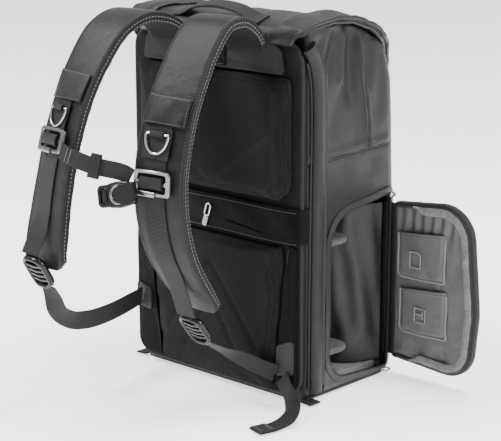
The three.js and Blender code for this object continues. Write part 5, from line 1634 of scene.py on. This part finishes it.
def tab(name, plan, centre, wide, high, thick, finish, grooves=(), node=None):
    """A flat pull tab with round edges; grooves are (v, depth) dips pressed across it."""
    outline = rounded([(-wide / 2, -high / 2, wide * 0.4), (wide / 2, -high / 2, wide * 0.4),
                       (wide / 2, high / 2, wide * 0.3),
                       (-wide / 2, high / 2, wide * 0.3)], 0.8)
    steps = np.array([0.0, 0.25, 0.6, 0.8, 0.92, 1.0])
    rise = np.sqrt(np.clip(1 - np.clip((steps - 0.7) / 0.3, 0, 1) ** 2, 0, 1)) * thick / 2
    rings = [(s, r) for s, r in zip(steps[1:], rise[1:])]
    rings = [(0.02, thick / 2)] + rings + [(s, -r) for s, r in rings[::-1]] + [(0.02, -thick / 2)]
    flat = np.array([np.concatenate([outline * s, np.full((len(outline), 1), r)], 1) for s, r in rings])
    for v, depth in grooves:
        flat[..., 2] -= np.sign(flat[..., 2]) * depth * bell(flat[..., 1] - v, 0.7)
    normal = np.cross(plan[0], plan[1])
    points = (np.array(centre, float) + flat[..., :1] * np.array(plan[0], float)
              + flat[..., 1:2] * np.array(plan[1], float)
              + flat[..., 2:] * normal)
    piece = surface(name, points, finish, wrap_cols=True, caps=True, sharp=50)
    if node:
        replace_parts(piece, node)


def zip_pulls():
    """The pulls of the back, side and door zips, each a wire loop or a tab."""
    lean = math.radians(18)
    plan = (np.array([math.cos(lean), 0, -math.sin(lean)]), np.array([math.sin(lean), 0, math.cos(lean)]))
    y = BACK - 7.5 - GAP - 1.1 - 0.3
    at = np.array([-4.0, y, 222.0])
    slot_ring("zip_pull_ring", plan, at, 3.6, 8.1, 1.1, CHROME, "back_zip_pull")
    tab("zip_pull_tab", plan, at - plan[1] * 15, 7.5, 15, 2.0, ALUMINIUM, [(-2.5, 0.35), (2.0, 0.35)])
    onward = HALF_WIDTH + 0.7 + 2.4
    upright = np.eye(3)[[1, 2]]
    side_x = -(HALF_WIDTH + GAP + 1.3 + 4.5)
    slot_ring("side_loop", upright, (side_x, -80.2, 42), 5.2, 23.7, 1.3, GUNMETAL, "side_zip_loop")
    flat = np.eye(3)[[0, 1]]
    tab("door_slider", flat, (onward + 3, 70, 234.5), 6.0, 12.0, 4.6, CHROME, [(0, 0.3)], "door_zip_slider")
    tab("door_slider_bridge", flat, (onward + 3, 70, 237.0), 3.0, 8.0, 2.2, CHROME)
    slot_ring("door_pull", flat, (145.5, 62, 9.5), 4.6, 7.1, 1.1, CHROME, "door_zip_pull")


def foot_loop(name, side):
    """The tab at the foot of each side, a small webbing loop, drawn as one short strip."""
    rows = [(side * (HALF_WIDTH + x), -80.0, z) for x, z in ((-3.6, 3.6), (4, 3.2), (13, 2.6))]
    webbing_strip("foot_tab_" + name, curve(rows, 24), (0, -side, 0), 20.0, 2.0, TAPE, lift=-1.0,
                  node="foot_loop_" + name)


def door_fold():
    """The cloth fold on which the door swings: a slab outside the doorway's front edge, its long edges
    rounded."""
    heights = np.linspace(25.0, 221.0, 80)
    section = oval(1, 1, 40, power=4.0)
    wide, deep = 18.6, 6.0
    points = np.stack([np.concatenate([132.4 + section[:, :1] * wide, 83.0 + section[:, 1:] * deep
                                       + 0.3 * np.sin(h * 0.21), np.full((40, 1), h)], 1) for h in heights])
    piece = surface("door_fold", points, TAPE, wrap_cols=True, caps=True, sharp=60)
    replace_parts(piece, "door_hinge")


def base_piping():
    """Piping round the bag's foot, over the seam of its base."""
    loop = body_loop(np.array([4.5]), -0.9)[0]
    keep = loop[:, 1] > SHELL_BACK + 3
    line = np.concatenate([loop[keep], np.full((keep.sum(), 1), 4.6)], 1)
    tube("base_piping", line, 2.3, TAPE, 12)
    high = body_loop(np.array([9.5]), -0.3)[0][keep]
    stitches("base_stitch", np.concatenate([high, np.full((len(high), 1), 9.0)], 1),
             np.concatenate([high, np.zeros((len(high), 1))], 1), THREAD_DARK, 4.0)


webbing_tail()
chest_strap()
zip_pulls()
foot_loop("right", 1)
foot_loop("left", -1)
door_fold()
base_piping()


# Floor, world and lights
def studio():
    """A pale floor under a white sky, one large soft lamp high on the left, a fill on the right and
    one behind."""
    half = 60.0
    data = bpy.data.meshes.new("floor")
    corners = [(-half, -half, 0), (half, -half, 0), (half, half, 0), (-half, half, 0)]
    data.from_pydata(corners, [], [(0, 1, 2, 3)])
    floor = bpy.data.objects.new("floor", data)
    bpy.context.scene.collection.objects.link(floor)
    paper = Finish("pale_paper", (0.9, 0.9, 0.9), 0.9, Emission_Color=(1, 1, 1, 1), Emission_Strength=1.25)
    paper.shade(paper.noise(900, 2), 0.985, 1.0)
    data.materials.append(paper.material)
    world = bpy.data.worlds.new("studio")
    world.use_nodes = True
    sky = world.node_tree.nodes["Background"]
    sky.inputs["Color"].default_value = (1, 1, 1, 1)
    sky.inputs["Strength"].default_value = 0.75
    bpy.context.scene.world = world
    for name, place, size, power in (("key", (-1.3, -1.3, 2.3), 1.0, 105.0),
                                     ("side", (2.6, 0.5, 1.5), 0.9, 70.0),
                                     ("top", (0.3, 0.5, 2.5), 1.1, 80.0)):
        lamp = bpy.data.lights.new(name, "AREA")
        lamp.shape, lamp.size, lamp.energy = "DISK", size, power
        light = bpy.data.objects.new(name, lamp)
        light.location = place
        aim = np.array([0, 0, 0.22]) - np.array(place)
        light.rotation_euler = (math.acos(-aim[2] / np.linalg.norm(aim)), 0,
                                math.atan2(aim[1], aim[0]) - math.pi / 2)
        bpy.context.scene.collection.objects.link(light)


studio()
